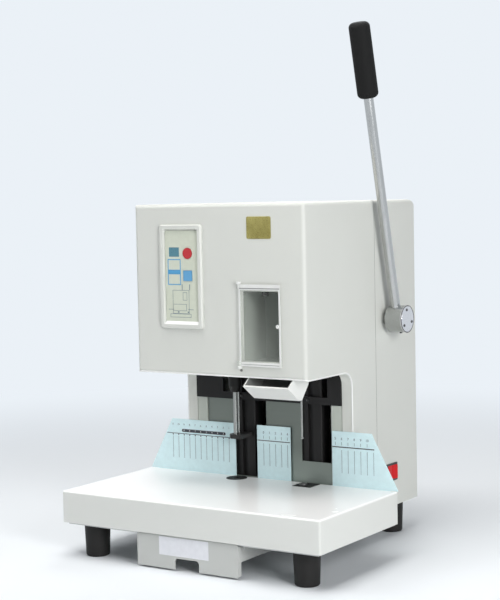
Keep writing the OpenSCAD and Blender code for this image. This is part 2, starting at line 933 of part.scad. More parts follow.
// Overlay sheet inside the frame, open at the display and the keys
display_in = 14.5;
display_x0 = panel_x0 + display_in;
display_w = 17;
display_down = 44;
display_z0 = panel_z1 - display_down;
display_h = 13;
key_gap = 0.4;
fit = 0.1;
module panel_overlay() {
    in = border + fit;
    color("aliceblue") difference() {
        along_y(y_head - overlay_t, y_head)
            round_rect(panel_x0 + in, panel_x1 - in, panel_z0 + in, panel_z1 - in, 2);
        box(display_x0, display_x0 + display_w, y_head - 2 * overlay_t, y_head + over,
            display_z0, display_z0 + display_h);
        bar_y(red_x, red_z, y_head - 2 * overlay_t, y_head + over, red_r + key_gap);
        along_y(y_head - 2 * overlay_t, y_head + over)
            rect_at(blue_x, blue_z, blue_s / 2 + key_gap, blue_s / 2 + key_gap);
    }
}

// Display window in the overlay
module display_window() {
    color("teal") box(display_x0 + fit, display_x0 + display_w - fit, y_head - overlay_t, y_head,
        display_z0 + fit, display_z0 + display_h - fit);
}

// Start key and mode key, standing out of the overlay
key_travel = 0.5;
module red_key() {
    color("crimson") bar_y(red_x, red_z, y_head - overlay_t - key_proud, y_head - key_travel - fit, red_r);
}
module blue_key() {
    color("royalblue") along_y(y_head - overlay_t - key_proud, y_head - key_travel - fit)
        rect_at(blue_x, blue_z, blue_s / 2, blue_s / 2);
}

// Control board on four standoffs behind the panel, with a supply block
module control_board() {
    stand = 5;
    board_t = 1.6;
    block = 30;
    block_d = 14;
    inset = 5;
    y0 = y_head + shell_t;
    y1 = y0 + stand;
    color("darkgreen") union() {
        box(panel_x0, panel_x1, y1, y1 + board_t, panel_z0, panel_z1);
        for (x = [panel_x0 + inset, panel_x1 - inset])
            for (z = [panel_z0 + inset, panel_z1 - inset])
                bar_y(x, z, y0, y1, inset / 2);
        box(panel_x0 + 2 * inset, panel_x0 + 2 * inset + block, y1, y1 + block_d,
            panel_z1 - 2 * inset - block, panel_z1 - 2 * inset);
    }
}

// Lever and cross shaft

// Cross shaft, seated in the hub
shaft_left = 6;
hub_floor = 6;
module lever_shaft() {
    color("silver") on_shaft(-web_x - shaft_left, lever_x0 + hub_l - cap_t - hub_floor, shaft_d / 2);
}

// Point on an involute of a base circle, by roll angle in degrees
function involute(rb, t) = rb * [cos(t) + t * PI / 180 * sin(t), sin(t) - t * PI / 180 * cos(t)];

// Flank of a gear tooth, base to tip, mirrored for the far side
function flank(k, side) = let (
        press = 20,
        rb = pitch_r * cos(press),
        tip = pitch_r + gear_m,
        t_tip = sqrt(pow(tip / rb, 2) - 1) * 180 / PI,
        half = 90 / gear_z - backlash / 4 / pitch_r * 180 / PI + (tan(press) * 180 / PI - press),
        steps = 3)
    [for (i = [0 : steps])
        let (j = side > 0 ? steps - i : i, p = involute(rb, t_tip * j / steps), a = k * 360 / gear_z,
            q = side > 0 ? [p[0], -p[1]] : p, b = a + side * half)
        [q[0] * cos(b) - q[1] * sin(b), q[0] * sin(b) + q[1] * cos(b)]];

// Root corner of a gear tooth
function root(k, side) = let (r = pitch_r - 1.25 * gear_m, b = k * 360 / gear_z + side * 130 / gear_z)
    r * [cos(b), sin(b)];

// Pinion on the cross shaft, one tooth pointing at the rack
boss_r = shaft_d / 2 + 6;
module pinion(x) {
    outline = [for (k = [0 : gear_z - 1])
        each concat([root(k, -1)], flank(k, -1), flank(k, 1), [root(k, 1)])];
    boss = 5;
    color("dimgray") difference() {
        union() {
            translate([x - gear_w / 2, shaft_y, shaft_z]) rotate([90, 0, 90])
                rotate(180) linear_extrude(gear_w) polygon(outline);
            on_shaft(x, x + gear_w / 2 + boss, boss_r);
        }
        on_shaft(x - gear_w, x + gear_w + boss, shaft_d / 2 + press_gap);
    }
}
module drill_pinion() pinion(x_drill);
module rivet_pinion() pinion(x_rivet);

// Collar whose lug meets the stop bar at rest
module stop_collar() {
    wide = 12;
    room = 18;
    x0 = -web_x + web_t + room;
    x1 = x0 + wide;
    color("dimgray") difference() {
        union() {
            on_shaft(x0, x1, boss_r);
            box(x0, x1, shaft_y - lug_w / 2, shaft_y + lug_w / 2, shaft_z, shaft_z + lug_r);
        }
        on_shaft(x0 - over, x1 + over, shaft_d / 2 + press_gap);
    }
}

// Place on the lever: origin on the shaft axis, +Z along the rod
module at_lever() {
    translate([lever_mid, shaft_y, shaft_z]) rotate([lever_lean, 0, 0]) children();
}

// Turned hub with a socket for the rod
socket_z = shaft_d / 2 + 2.5;
module lever_hub() {
    chamfer = 1.2;
    len = hub_l - cap_t;
    r = hub_d / 2;
    color("silver") difference() {
        translate([lever_x0, shaft_y, shaft_z]) rotate([0, 90, 0]) rotate_extrude($fn = 96)
            polygon([[0, 0], [r - chamfer, 0], [r, chamfer], [r, len], [0, len]]);
        on_shaft(lever_x0 - over, lever_x0 + len - hub_floor + slip, shaft_d / 2 + press_gap);
        at_lever() post(0, 0, socket_z - slip, hub_d, rod_d / 2 + press_gap);
    }
}

// Cap on the hub's outer face
module hub_cap() {
    r = hub_d / 2;
    chamfer = 1;
    x0 = lever_x0 + hub_l - cap_t;
    color("lightgray") translate([x0, shaft_y, shaft_z]) rotate([0, 90, 0]) rotate_extrude($fn = 96)
        polygon([[0, 0], [r, 0], [r, cap_t - chamfer], [r - chamfer, cap_t], [0, cap_t]]);
}

// Lever rod, from the hub's socket into the grip
grip_cover = 12;
module lever_rod() {
    color("silver") at_lever() post(0, 0, socket_z, lever_l - grip_cover, rod_d / 2);
}

// Soft grip with domed ends
module lever_grip() {
    dome = 7;
    r = grip_d / 2;
    color("#201f1f") at_lever() difference() {
        rotate_extrude() intersection() {
            round_rect(-r, r, lever_l - grip_l, lever_l, dome);
            translate([0, lever_l - grip_l]) square([r, grip_l]);
        }
        post(0, 0, lever_l - grip_l - over, lever_l - grip_cover + slip, rod_d / 2 + press_gap);
    }
}

// Drill carriage

// Slide block round a guide column, with an arm that holds the tool
module slide_block(x, bore_r) {
    difference() {
        union() {
            box(x - block_x, x + block_x, block_y0, block_y1, block_z0, block_z1);
            box(x - arm_x, x + arm_x, arm_y0, block_y0 + over, block_z0, block_z0 + arm_h);
        }
        box(x - guide_w / 2 - gib, x + guide_w / 2 + gib, guide_y0 - gib, guide_y1 + gib,
            block_z0 - over, block_z1 + over);
        post(x, y_tool, block_z0 - over, block_z0 + arm_h + over, bore_r);
    }
}

// Drill slide with an upper deck for spindle and motor and a pocket for the press spring
module drill_slide() {
    pocket = 10;
    color("#3a3838") difference() {
        union() {
            slide_block(x_drill, spindle_r + run_gap);
            box(x_drill - arm_x, x_drill + arm_x, motor_y - motor_r - over, block_y0 + over,
                deck_z, block_z1);
        }
        post(x_drill, y_tool, deck_z - over, block_z1 + over, spindle_r + run_gap);
        post(x_drill, motor_y, deck_z - over, block_z1 + over, 2 * motor_shaft_r);
        post(press_x, press_y, block_z0 - over, block_z1 + over, press_rod_d / 2 + run_gap);
        box(press_x - pocket / 2, press_x + pocket / 2, block_y0 - over, press_y + pocket / 2,
            block_z0 + arm_h, deck_z);
    }
}

// Rack bar with straight-sided teeth that face the pinion
module rack(x) {
    add = gear_m;
    ded = 1.25 * gear_m;
    slope = tan(20);
    half = tooth_p / 4 - backlash / 4;
    reach = 2.5 * tooth_p;
    first = -ceil(reach / tooth_p);
    last = ceil((feed + reach) / tooth_p) - 1;
    teeth = [for (k = [first : last])
        let (z = shaft_z + (k + 0.5) * tooth_p)
        each [[rack_y - ded, z - half - ded * slope], [rack_y + add, z - half + add * slope],
            [rack_y + add, z + half - add * slope], [rack_y - ded, z + half + ded * slope]]];
    z0 = shaft_z + first * tooth_p;
    z1 = shaft_z + (last + 1) * tooth_p;
    color("gray") along_x(x - gear_w / 2, x + gear_w / 2)
        polygon(concat([[block_y1, z0], [rack_y - ded, z0]], teeth, [[rack_y - ded, z1], [block_y1, z1]]));
}
module drill_rack() rack(x_drill);
module rivet_rack() rack(x_rivet);

// Motor hung under the deck, its shaft standing through it
module drill_motor() {
    end = 4;
    color("slategray") translate([x_drill, motor_y, deck_z - motor_l]) rotate_extrude()
        polygon([[0, 0], [motor_r - end, 0], [motor_r, end], [motor_r, motor_l], [0, motor_l]]);
}

// Motor shaft and pulley
module motor_pulley() {
    color("silver") union() {
        post(x_drill, motor_y, deck_z + slip, pulley_z + pulley_h + over, motor_shaft_r);
        flanged_pulley(motor_y, motor_pulley_r);
    }
}

// Flat-belt pulley with a lip above and below the belt
module flanged_pulley(y, r) {
    lip = 1;
    post(x_drill, y, pulley_z, pulley_z + pulley_h, r);
    post(x_drill, y, pulley_z, pulley_z + lip, r + lip);
    post(x_drill, y, pulley_z + pulley_h - lip, pulley_z + pulley_h, r + lip);
}

// Outline of the belt's path at a distance from the pulleys' faces
module belt_path(grow) {
    hull() {
        translate([x_drill, y_tool]) circle(spindle_pulley_r + grow);
        translate([x_drill, motor_y]) circle(motor_pulley_r + grow);
    }
}

// Flat drive belt
module drive_belt() {
    color("#2b2a2a") along_z(pulley_z + belt_t, pulley_z + pulley_h - belt_t) difference() {
        belt_path(belt_gap + belt_t);
        belt_path(belt_gap);
    }
}

// Hollow spindle, running in the arm and the deck
chuck_z = z_table + chuck_up;
bit_seat = chuck_l - 6;
module spindle_tube() {
    color("silver") difference() {
        post(x_drill, y_tool, chuck_z + chuck_l, pulley_z + pulley_h + 2 * over, spindle_r);
        post(x_drill, y_tool, chuck_z, z_top, bit_bore / 2);
    }
}

// Pulley on the spindle
module spindle_pulley() {
    color("gray") difference() {
        flanged_pulley(y_tool, spindle_pulley_r);
        post(x_drill, y_tool, pulley_z - over, pulley_z + pulley_h + over, spindle_r + press_gap);
    }
}

// Turned chuck with a tapered nose
module chuck() {
    r = chuck_d / 2;
    nose = 8;
    edge = 2;
    color("#2a2828") difference() {
        translate([x_drill, y_tool, chuck_z]) rotate_extrude()
            polygon([[0, 0], [r - 1.5 * edge, 0], [r, nose], [r, chuck_l - edge], [r - edge, chuck_l],
                [0, chuck_l]]);
        post(x_drill, y_tool, chuck_z - over, chuck_z + bit_seat, bit_d / 2 + press_gap);
        post(x_drill, y_tool, chuck_z - over, z_top, bit_bore / 2);
    }
}

// Hollow drill bit with a sharpened rim
tip_up = 0.6;
module drill_bit() {
    r = bit_d / 2;
    b = bit_bore / 2;
    z0 = z_table + foot_up - tip_up;
    z1 = chuck_z + bit_seat;
    rim = 0.1;
    bevel = 3;
    color("silver") translate([x_drill, y_tool, 0]) rotate_extrude()
        polygon([[b, z0], [b + rim, z0], [r, z0 + bevel], [r, z1], [b, z1]]);
}

// Press foot: a block round the bit that reaches back to the guide, its front left corner cut away
foot_left = 9;
foot_right = 13;
foot_front = 7.5;
foot_cut = 5;
foot_gap = 0.8;
module press_foot() {
    z1 = press_z + press_t;
    x0 = x_drill - foot_left;
    x1 = x_drill + foot_right;
    y0 = y_tool - foot_front;
    y1 = guide_y0 - gib;
    color("#2c2a2a") difference() {
        along_z(press_z, z1)
            polygon([[x0, y1], [x0, y0 + foot_cut], [x0 + foot_cut, y0], [x1, y0], [x1, y1]]);
        post(x_drill, y_tool, press_z - over, z1 + over, bit_d / 2 + foot_gap);
        post(press_x, press_y, press_z + over, z1 + over, press_rod_d / 2 + press_gap);
    }
}

// Rod that carries the press foot, with the collar that rests on the arm
module press_rod() {
    color("silver") union() {
        post(press_x, press_y, press_z + over, block_z1 + collar_t, press_rod_d / 2);
        post(press_x, press_y, collar_z, collar_z + collar_t, collar_r);
    }
}

// Spring that pushes the press foot down
module press_spring() {
    wire_r = 0.5;
    turns = 14;
    color("silver") coil(press_x, press_y, collar_z + collar_t + spring_gap, deck_z - spring_gap,
        collar_r - wire_r, wire_r, turns);
}

// Rivet carriage

// Rivet slide
module rivet_slide() {
    color("#3a3838") slide_block(x_rivet, ram_d / 2 + press_gap);
}

// Heater sleeve under the rivet arm
heater_r = 14;
heater_h = 20;
module rivet_heater() {
    color("dimgray") difference() {
        post(x_rivet, y_tool, block_z0 - heater_h, block_z0, heater_r);
        post(x_rivet, y_tool, block_z0 - heater_h - over, block_z0 + over, ram_d / 2 + press_gap);
    }
}

// Ram: a slim pin with a beaded tip that enters the tube, stepped up to the heated shank
module rivet_ram() {
    r = ram_d / 2;
    pin_r = ram_pin_d / 2;
    bead = 0.5;
    bead_l = 3;
    z0 = z_table + ram_up;
    z1 = z0 + bead_l;
    neck = block_z0 - heater_h - r;
    top = block_z0 + arm_h;
    color("#4a4848") translate([x_rivet, y_tool, 0]) rotate_extrude()
        polygon([[0, z0], [pin_r, z0], [pin_r + bead, z0 + bead], [pin_r + bead, z1 - bead], [pin_r, z1],
            [pin_r, neck - r], [r, neck], [r, top], [0, top]]);
}

// Springs that lift the two slide blocks
module return_spring(x) {
    wire_r = 0.7;
    mean_r = 3.6;
    turns = 10;
    color("silver") coil(x - block_x + block_wall / 2, (guide_y0 + guide_y1) / 2, block_z1 + spring_gap,
        bridge_z - spring_gap, mean_r, wire_r, turns);
}
module drill_spring() return_spring(x_drill);
module rivet_spring() return_spring(x_rivet);

// Drawer

// Runners under the base plate that hold the drawer's side rails
box_x = drawer_w / 2 - 2;
module drawer_runners() {
    x0 = box_x + drawer_t / 2;
    x1 = box_x + rail_w + over;
    x2 = x1 + runner_t;
    y0 = drawer_y + rail_start;
    y1 = drawer_y + drawer_d - 2 * rail_w;
    z0 = rail_z - slip - runner_t;
    color("gainsboro") for (side = [-1, 1]) {
        box(side > 0 ? x0 : -x2, side > 0 ? x2 : -x0, y0, y1, z0, z0 + runner_t);
        box(side > 0 ? x1 : -x2, side > 0 ? x2 : -x1, y0, y1, z0, foot_h);
    }
}

// Chip drawer: an open box with side rails and a taller front with a finger notch
module drawer() {
    x = drawer_w / 2;
    y0 = drawer_y;
    y1 = drawer_y + drawer_d;
    z0 = box_z1 - box_h;
    zf = drawer_z1 - drawer_h;
    edge_r = 2;
    notch_r = 5;
    color("gainsboro") union() {
        difference() {
            box(-box_x, box_x, y0 + drawer_t, y1, z0, box_z1);
            box(-box_x + drawer_t, box_x - drawer_t, y0 + drawer_t, y1 - drawer_t,
                z0 + drawer_t, box_z1 + over);
        }
        for (side = [-1, 1]) {
            box(side > 0 ? box_x - over : -box_x - rail_w, side > 0 ? box_x + rail_w : -box_x + over,
                y0 + rail_start, y1, rail_z, rail_z + drawer_t);
            box(side > 0 ? x - drawer_t : -x, side > 0 ? x : -x + drawer_t, y0, y0 + rail_start - over,
                zf + edge_r, drawer_z1 - edge_r);
        }
        along_y(y0, y0 + drawer_t) difference() {
            round_rect(-x, x, zf, drawer_z1, edge_r);
            round_rect(-notch_w / 2, notch_w / 2, zf - notch_h, zf + notch_h, notch_r);
        }
    }
}

// Power switch and inlet

// Bezel of the rocker switch with its body behind the wall
module switch_bezel() {
    lip = 1.6;
    w = switch_w / 2;
    h = switch_h / 2;
    in = switch_lip + slip;
    body_d = 14;
    well_d = 9;
    color("#1e1d1d") difference() {
        union() {
            along_x(shell_x, shell_x + lip)
                round_rect(switch_y - w, switch_y + w, switch_z - h, switch_z + h, switch_lip);
            along_x(shell_x - body_d, shell_x + lip / 2) rect_at(switch_y, switch_z, w - in, h - in);
        }
        along_x(shell_x - well_d, shell_x + 2 * lip)
            rect_at(switch_y, switch_z, w - switch_wall, h - switch_wall);
    }
}

// Rocker, its front half pressed in
rocker_tilt = 9;
pivot_in = 2;
module rocker() {
    room = 0.8;
    half_w = switch_w / 2 - switch_wall - room;
    half_h = switch_h / 2 - switch_wall - slip;
    root_x = 1.5;
    root_y = 5;
    root_r = 3.6;
    side_x = 2;
    rim_x = 4.4;
    dish_x = 2.8;
    color("red") translate([shell_x - pivot_in, switch_y, 0]) rotate(-rocker_tilt)
        along_z(switch_z - half_h, switch_z + half_h) union() {
            polygon([[-root_x, -root_y], [side_x, -half_w], [rim_x, -half_w], [dish_x, 0], [rim_x, half_w],
                [side_x, half_w], [-root_x, root_y]]);
            intersection() {
                circle(root_r);
                translate([-2 * root_r, -root_r]) square(2 * root_r);
            }
        }
}

// Appliance inlet on the back with three contact blades
module power_inlet() {
    x = -inlet_left;
    w = inlet_w / 2;
    h = inlet_h / 2;
    body_d = 18;
    well_d = 15;
    ear_x = 20;
    flange_r = 6;
    blade = [2, 13, 4];
    blade_p = 7;
    color("#1e1d1d") union() {
        difference() {
            union() {
                along_y(y_back, y_back + inlet_t)
                    round_rect(x - w, x + w, z_table - h, z_table + h, flange_r);
                along_y(y_back - body_d, y_back + inlet_t / 2)
                    rect_at(x, z_table, w - inlet_ear - slip, h - inlet_lip - slip);
            }
            along_y(y_back - well_d, y_back + 2 * inlet_t)
                rect_at(x, z_table, w - inlet_ear - inlet_wall, h - inlet_lip - inlet_wall);
            for (side = [-1, 1])
                bar_y(x + side * ear_x, z_table, y_back - over, y_back + 2 * inlet_t, 1.75);
        }
        for (side = [-1, 0, 1])
            translate([x + side * blade_p - blade[0] / 2, y_back - well_d - over, z_table - abs(side) * 2])
                cube(blade);
    }
}

table_top();
base_plate();
feet();
side_frame_left();
side_frame_right();
top_bridge();
front_panel();
cross_plate();
drill_guide();
rivet_guide();
front_shell();
rear_shell();
scale_plates();
catch_tray();
tube_box();
hinge_pegs();
panel_frame();
panel_overlay();
display_window();
control_board();
shaft_bushes();
stop_bar();
cutting_ring();
chip_tube();
die_insert();
lower_die();
drawer_runners();
switch_bezel();
power_inlet();
lever_shaft();
drill_pinion();
rivet_pinion();
stop_collar();
lever_hub();
hub_cap();
lever_rod();
lever_grip();
drill_slide();
drill_rack();
drill_motor();
drive_belt();
spindle_tube();
spindle_pulley();
chuck();
drill_bit();
motor_pulley();
press_foot();
press_rod();
press_spring();
rivet_slide();
rivet_rack();
rivet_heater();
rivet_ram();
drill_spring();
rivet_spring();
door_pane();
drawer();
rocker();
red_key();
blue_key();
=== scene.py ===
"""Looks of a desk binding machine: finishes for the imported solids, and the print, screws and trim on them."""
import json
import math

import bmesh
import bpy
from mathutils import Matrix, Vector


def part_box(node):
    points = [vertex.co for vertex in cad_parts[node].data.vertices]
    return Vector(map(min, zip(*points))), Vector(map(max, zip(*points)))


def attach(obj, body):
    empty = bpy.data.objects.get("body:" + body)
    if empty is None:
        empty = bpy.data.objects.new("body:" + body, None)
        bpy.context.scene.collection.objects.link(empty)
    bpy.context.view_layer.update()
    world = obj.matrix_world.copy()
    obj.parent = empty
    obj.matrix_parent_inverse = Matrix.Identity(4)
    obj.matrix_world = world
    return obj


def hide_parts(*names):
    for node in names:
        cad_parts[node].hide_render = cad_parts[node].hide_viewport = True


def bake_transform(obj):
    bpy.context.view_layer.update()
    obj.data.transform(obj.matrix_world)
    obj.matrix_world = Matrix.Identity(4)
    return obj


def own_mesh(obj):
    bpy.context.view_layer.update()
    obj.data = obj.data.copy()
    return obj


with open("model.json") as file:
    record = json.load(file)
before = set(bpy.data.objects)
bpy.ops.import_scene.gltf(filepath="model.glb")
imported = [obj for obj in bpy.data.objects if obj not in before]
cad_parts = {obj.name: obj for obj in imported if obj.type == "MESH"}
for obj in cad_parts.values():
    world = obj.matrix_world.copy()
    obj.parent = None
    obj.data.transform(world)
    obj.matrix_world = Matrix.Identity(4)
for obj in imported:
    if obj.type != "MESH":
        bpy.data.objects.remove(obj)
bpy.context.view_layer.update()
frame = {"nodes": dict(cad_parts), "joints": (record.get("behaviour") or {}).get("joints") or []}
NODES = frame["nodes"]
MM = 0.001


# Camera

CAMERA_PLACE = (1.1538, -1.7877, 0.4947)
CAMERA_RIGHT = Vector((0.8360, 0.5484, -0.0200)).normalized()
CAMERA_UP = Vector((-0.0212, 0.0686, 0.9974)).normalized()
SENSOR_WIDTH = 36.0
LENS = 90.67
CLIP_END = 30.0


def photo_camera():
    """The camera at the place and angle that the photograph was taken from."""
    data = bpy.data.cameras.new("photo_camera")
    data.sensor_width = SENSOR_WIDTH
    data.lens = LENS
    data.clip_end = CLIP_END
    camera = bpy.data.objects.new("photo_camera", data)
    bpy.context.scene.collection.objects.link(camera)
    back = CAMERA_RIGHT.cross(CAMERA_UP)
    turn = Matrix((CAMERA_RIGHT, CAMERA_UP, back)).transposed().to_4x4()
    camera.matrix_world = Matrix.Translation(CAMERA_PLACE) @ turn
    bpy.context.scene.camera = camera


photo_camera()


# Places on the machine, in millimetres

def limits(node):
    """Limits of a CAD node: three pairs, for x, y and z."""
    low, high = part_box(node)
    return [(low[i] / MM, high[i] / MM) for i in range(3)]


def middle(node, axis):
    """Middle of a CAD node along one axis."""
    return sum(limits(node)[axis]) / 2


def shifted(pair, by):
    """A pair of limits, moved."""
    return (pair[0] + by, pair[1] + by)


FACE_Y = limits("front_shell")[1][0]
BACK_Y = limits("rear_shell")[1][1]
TABLE_Z = limits("table_top")[2][1]
DRILL_X = middle("drill_bit", 0)
RIVET_X = middle("rivet_ram", 0)
HUB_AXIS = (middle("hub_cap", 1), middle("hub_cap", 2))
# The seam on the shell's side, between whose limits in y the shell colour gets a painted shade line for the gap
SEAM_LIP = 0.25
SEAM = (limits("front_shell")[1][1] - SEAM_LIP, limits("rear_shell")[1][0] + SEAM_LIP)


# Finishes

class Val:
    """A shader value: Python operators on it add Math nodes."""

    def __init__(self, finish, socket):
        self.finish = finish
        self.socket = socket

    def _math(self, operation, first, second):
        return self.finish.node("ShaderNodeMath", {"operation": operation}, {0: first, 1: second})

    def __add__(self, other):
        return self._math("ADD", self, other)

    def __sub__(self, other):
        return self._math("SUBTRACT", self, other)

    def __rsub__(self, other):
        return self._math("SUBTRACT", other, self)

    def __mul__(self, other):
        return self._math("MULTIPLY", self, other)

    __radd__ = __add__
    __rmul__ = __mul__


class Finish:
    """A material in the making, on the piece's own Object coordinates."""

    def __init__(self, name):
        self.material = bpy.data.materials.new(name)
        self.material.use_nodes = True
        self.tree = self.material.node_tree
        self.shader = self.tree.nodes["Principled BSDF"]
        self.place = self.node("ShaderNodeTexCoord", out="Object")

    def node(self, kind, settings=None, inputs=None, out=0):
        """Adds a node, sets it up, feeds its sockets and gives one of its outputs."""
        made = self.tree.nodes.new(kind)
        for key, value in (settings or {}).items():
            setattr(made, key, value)
        for key, value in (inputs or {}).items():
            self.feed(made.inputs[key], value)
        return Val(self, made.outputs[out])

    def feed(self, socket, value):
        """Links a shader value to a socket, or sets the socket to a plain value."""
        if isinstance(value, Val):
            self.tree.links.new(value.socket, socket)
        elif socket.type == "RGBA":
            socket.default_value = (*value, 1.0)
        else:
            socket.default_value = value

    def set(self, **sockets):
        """Feeds the surface shader's sockets, by their names with _ for a space."""
        for key, value in sockets.items():
            self.feed(self.shader.inputs[key.replace("_", " ")], value)
        return self

    def along(self, axis):
        """One of the place's coordinates, X, Y or Z, in metres."""
        return self.node("ShaderNodeSeparateXYZ", None, {"Vector": self.place}, out=axis)

    def rise(self, value, start, end, kind="LINEAR"):
        """A share that grows from 0 where the value is at its start to 1 at its end."""
        return self.node("ShaderNodeMapRange", {"interpolation_type": kind},
                         {"Value": value, "From Min": start, "From Max": end})

    def stretched(self, scale, turn=(0, 0, 0)):
        """Object coordinates, stretched and turned."""
        return self.node("ShaderNodeMapping", None,
                         {"Vector": self.place, "Scale": scale, "Rotation": turn})

    def noise(self, scale, detail=2.0, rough=0.5, where=None):
        """Smooth noise, on the place itself or on a stretched one."""
        return self.node("ShaderNodeTexNoise", None, {"Vector": where or self.place, "Scale": scale,
                                                      "Detail": detail, "Roughness": rough})

    def mix(self, share, first, second):
        """A colour between two colours."""
        return self.node("ShaderNodeMix", {"data_type": "RGBA"}, {0: share, 6: first, 7: second}, out=2)

    def bump(self, height, strength, depth):
        """A surface normal bent by a height pattern."""
        return self.node("ShaderNodeBump", None, {"Height": height, "Strength": strength, "Distance": depth})


def shade(colour, factor):
    """A colour made lighter or darker."""
    return tuple(min(1.0, c * factor) for c in colour)


PEEL_DEPTH = 0.0006


def sprayed(f, colour):
    """Sprayed paint's cloudiness, its orange-peel skin, and a colour with the clouds in it."""
    cloud = f.noise(7.0, detail=3.0)
    peel = f.noise(620.0, rough=0.55)
    return cloud, peel, f.mix(cloud, shade(colour, 0.965), shade(colour, 1.025))


def powder_coat(name, colour, rough=0.42, grain=0.10, seam=None):
    """Powder coat with a fine skin, and with a dark line between a seam's limits in y, painted shade of the
    seam's gap.
    """
    f = Finish(name)
    cloud, peel, tone = sprayed(f, colour)
    # Painted shade: the colour is darkened along the seam, where its gap falls in shade.
    if seam:
        line = f.node("ShaderNodeMath", {"operation": "COMPARE"},
                      {0: f.along("Y"), 1: sum(seam) / 2 * MM, 2: (seam[1] - seam[0]) / 2 * MM})
        tone = f.mix(line, tone, shade(colour, 0.45))
    return f.set(Base_Color=tone, Roughness=rough + (cloud - 0.5) * 0.12 + (peel - 0.5) * 0.05,
                 Normal=f.bump(peel, grain, PEEL_DEPTH)).material


def table_enamel(name, wall_colour, painted_light_face_colour):
    """Table paint: satin on the walls, glossier on the upper face, and whiter there as painted light from
    above.
    """
    f = Finish(name)
    cloud, peel, walls = sprayed(f, wall_colour)
    wall_top, face_foot = TABLE_Z - 2.5, TABLE_Z - 0.5
    # The upper face takes a whiter colour than the walls: painted light from above.
    face = f.rise(f.along("Z"), wall_top * MM, face_foot * MM)
    return f.set(Base_Color=f.mix(face, walls, painted_light_face_colour),
                 Roughness=0.40 - face * 0.14 + (cloud - 0.5) * 0.08,
                 Normal=f.bump(peel, 0.05, PEEL_DEPTH)).material


def black_finish(name, colour, rough, streak):
    """Black satin paint or oxide with fine upright streaks in colour and gloss: partly wipe marks, partly
    painted sheen.
    """
    f = Finish(name)
    wipe_and_sheen = f.noise(90.0, detail=3.0, rough=0.6, where=f.stretched((1.0, 1.0, 0.06)))
    speck = f.noise(900.0)
    # Lighter upright streaks in the colour: partly wipe marks, partly painted sheen.
    tone = f.mix(wipe_and_sheen, shade(colour, 0.75), shade(colour, 1.35))
    return f.set(Base_Color=tone, Roughness=rough + (wipe_and_sheen - 0.5) * streak + (speck - 0.5) * 0.08,
                 Specular_IOR_Level=0.22, Normal=f.bump(speck, 0.08, 0.0004)).material


def brushed_metal(name, colour, rough, scale, turn=(0, 0, 0), grain=0.06, painted_bounce_foot=None):
    """Bare metal with fine lines along one direction, which may be painted paler from one height down to
    another as painted light reflected from the white table.
    """
    f = Finish(name)
    lines = f.noise(240.0, detail=3.0, rough=0.65, where=f.stretched(scale, turn))
    cloud = f.noise(18.0)
    tone = f.mix(lines, shade(colour, 0.86), shade(colour, 1.08))
    if painted_bounce_foot:
        top, foot = painted_bounce_foot
        # Painted light: the colour grows paler towards the foot, for light reflected from the white table.
        tone = f.mix(f.rise(f.along("Z"), top * MM, foot * MM), tone, shade(colour, 1.6))
    return f.set(Base_Color=tone, Metallic=1.0, Roughness=rough + (lines - 0.5) * 0.18 + (cloud - 0.5) * 0.06,
                 Normal=f.bump(lines, grain, 0.0003)).material


def turned_metal(name, colour, rough, centre, rings):
    """Bare metal faced in a lathe: rings about an axis along x."""
    f = Finish(name)
    moved = f.node("ShaderNodeMapping", None, {"Vector": f.place, "Location": tuple(-c * MM for c in centre)})
    wave = f.node("ShaderNodeTexWave", {"wave_type": "RINGS", "rings_direction": "X"},
                  {"Vector": moved, "Scale": rings, "Distortion": 0.1, "Detail": 1.0}, out=1)
    fine = f.noise(420.0)
    tone = f.mix(wave, shade(colour, 0.95), shade(colour, 1.03))
    return f.set(Base_Color=tone, Metallic=1.0, Roughness=rough + wave * 0.06 + (fine - 0.5) * 0.06,
                 Normal=f.bump(wave, 0.015, 0.0002)).material


def moulded(name, colour, rough, grain=0.12, scale=500.0, depth=0.0005, coat=0.0, shine=0.5):
    """Moulded plastic or rubber with a fine skin."""
    f = Finish(name)
    skin = f.noise(scale, detail=3.0, rough=0.6)
    cloud = f.noise(25.0)
    tone = f.mix(cloud, shade(colour, 0.88), shade(colour, 1.12))
    return f.set(Base_Color=tone, Roughness=rough + (skin - 0.5) * 0.14 + (cloud - 0.5) * 0.08,
                 Coat_Weight=coat, Coat_Roughness=0.1, Specular_IOR_Level=shine,
                 Normal=f.bump(skin, grain, depth)).material


def printed(name, colour, rough=0.5):
    """Screen-printed ink or film: flat, with slightly uneven cover."""
    f = Finish(name)
    cover = f.noise(160.0, detail=3.0)
    tone = f.mix(cover, shade(colour, 0.93), shade(colour, 1.06))
    return f.set(Base_Color=tone, Roughness=rough + (cover - 0.5) * 0.15).material


def gold_foil(name, dull, bright):
    """Crinkled gold foil with a grain that glitters."""
    f = Finish(name)
    grain = f.node("ShaderNodeTexVoronoi", None, {"Vector": f.place, "Scale": 1500.0}, out=1)
    sweep = f.noise(70.0, where=f.stretched((1.0, 1.0, 0.5)))
    height = f.node("ShaderNodeSeparateColor", None, {"Color": grain})
    return f.set(Base_Color=f.mix(sweep, dull, bright), Metallic=1.0, Roughness=0.24 + height * 0.2,
                 Normal=f.bump(height, 0.25, 0.0004)).material


def clear_acrylic(name, colour):
    """Clear acrylic sheet with fine scratches, and a haze that grows to the lower hinge corner."""
    f = Finish(name)
    x, _, z = limits("tube_box")
    clear_x, hazy_x = x[1] - 3.1, x[0] + 2.7
    clear_z, hazy_z = z[1] - 2.9, z[0] + 2.7
    scratch = f.noise(300.0, where=f.stretched((1.0, 1.0, 0.05), (0, 0.5, 0)))
    haze = (f.rise(f.along("X"), clear_x * MM, hazy_x * MM)
            + f.rise(f.along("Z"), clear_z * MM, hazy_z * MM))
    return f.set(Base_Color=colour, Roughness=0.05 + scratch * 0.05, IOR=1.49,
                 Alpha=haze * haze * 0.055 + 0.02).material


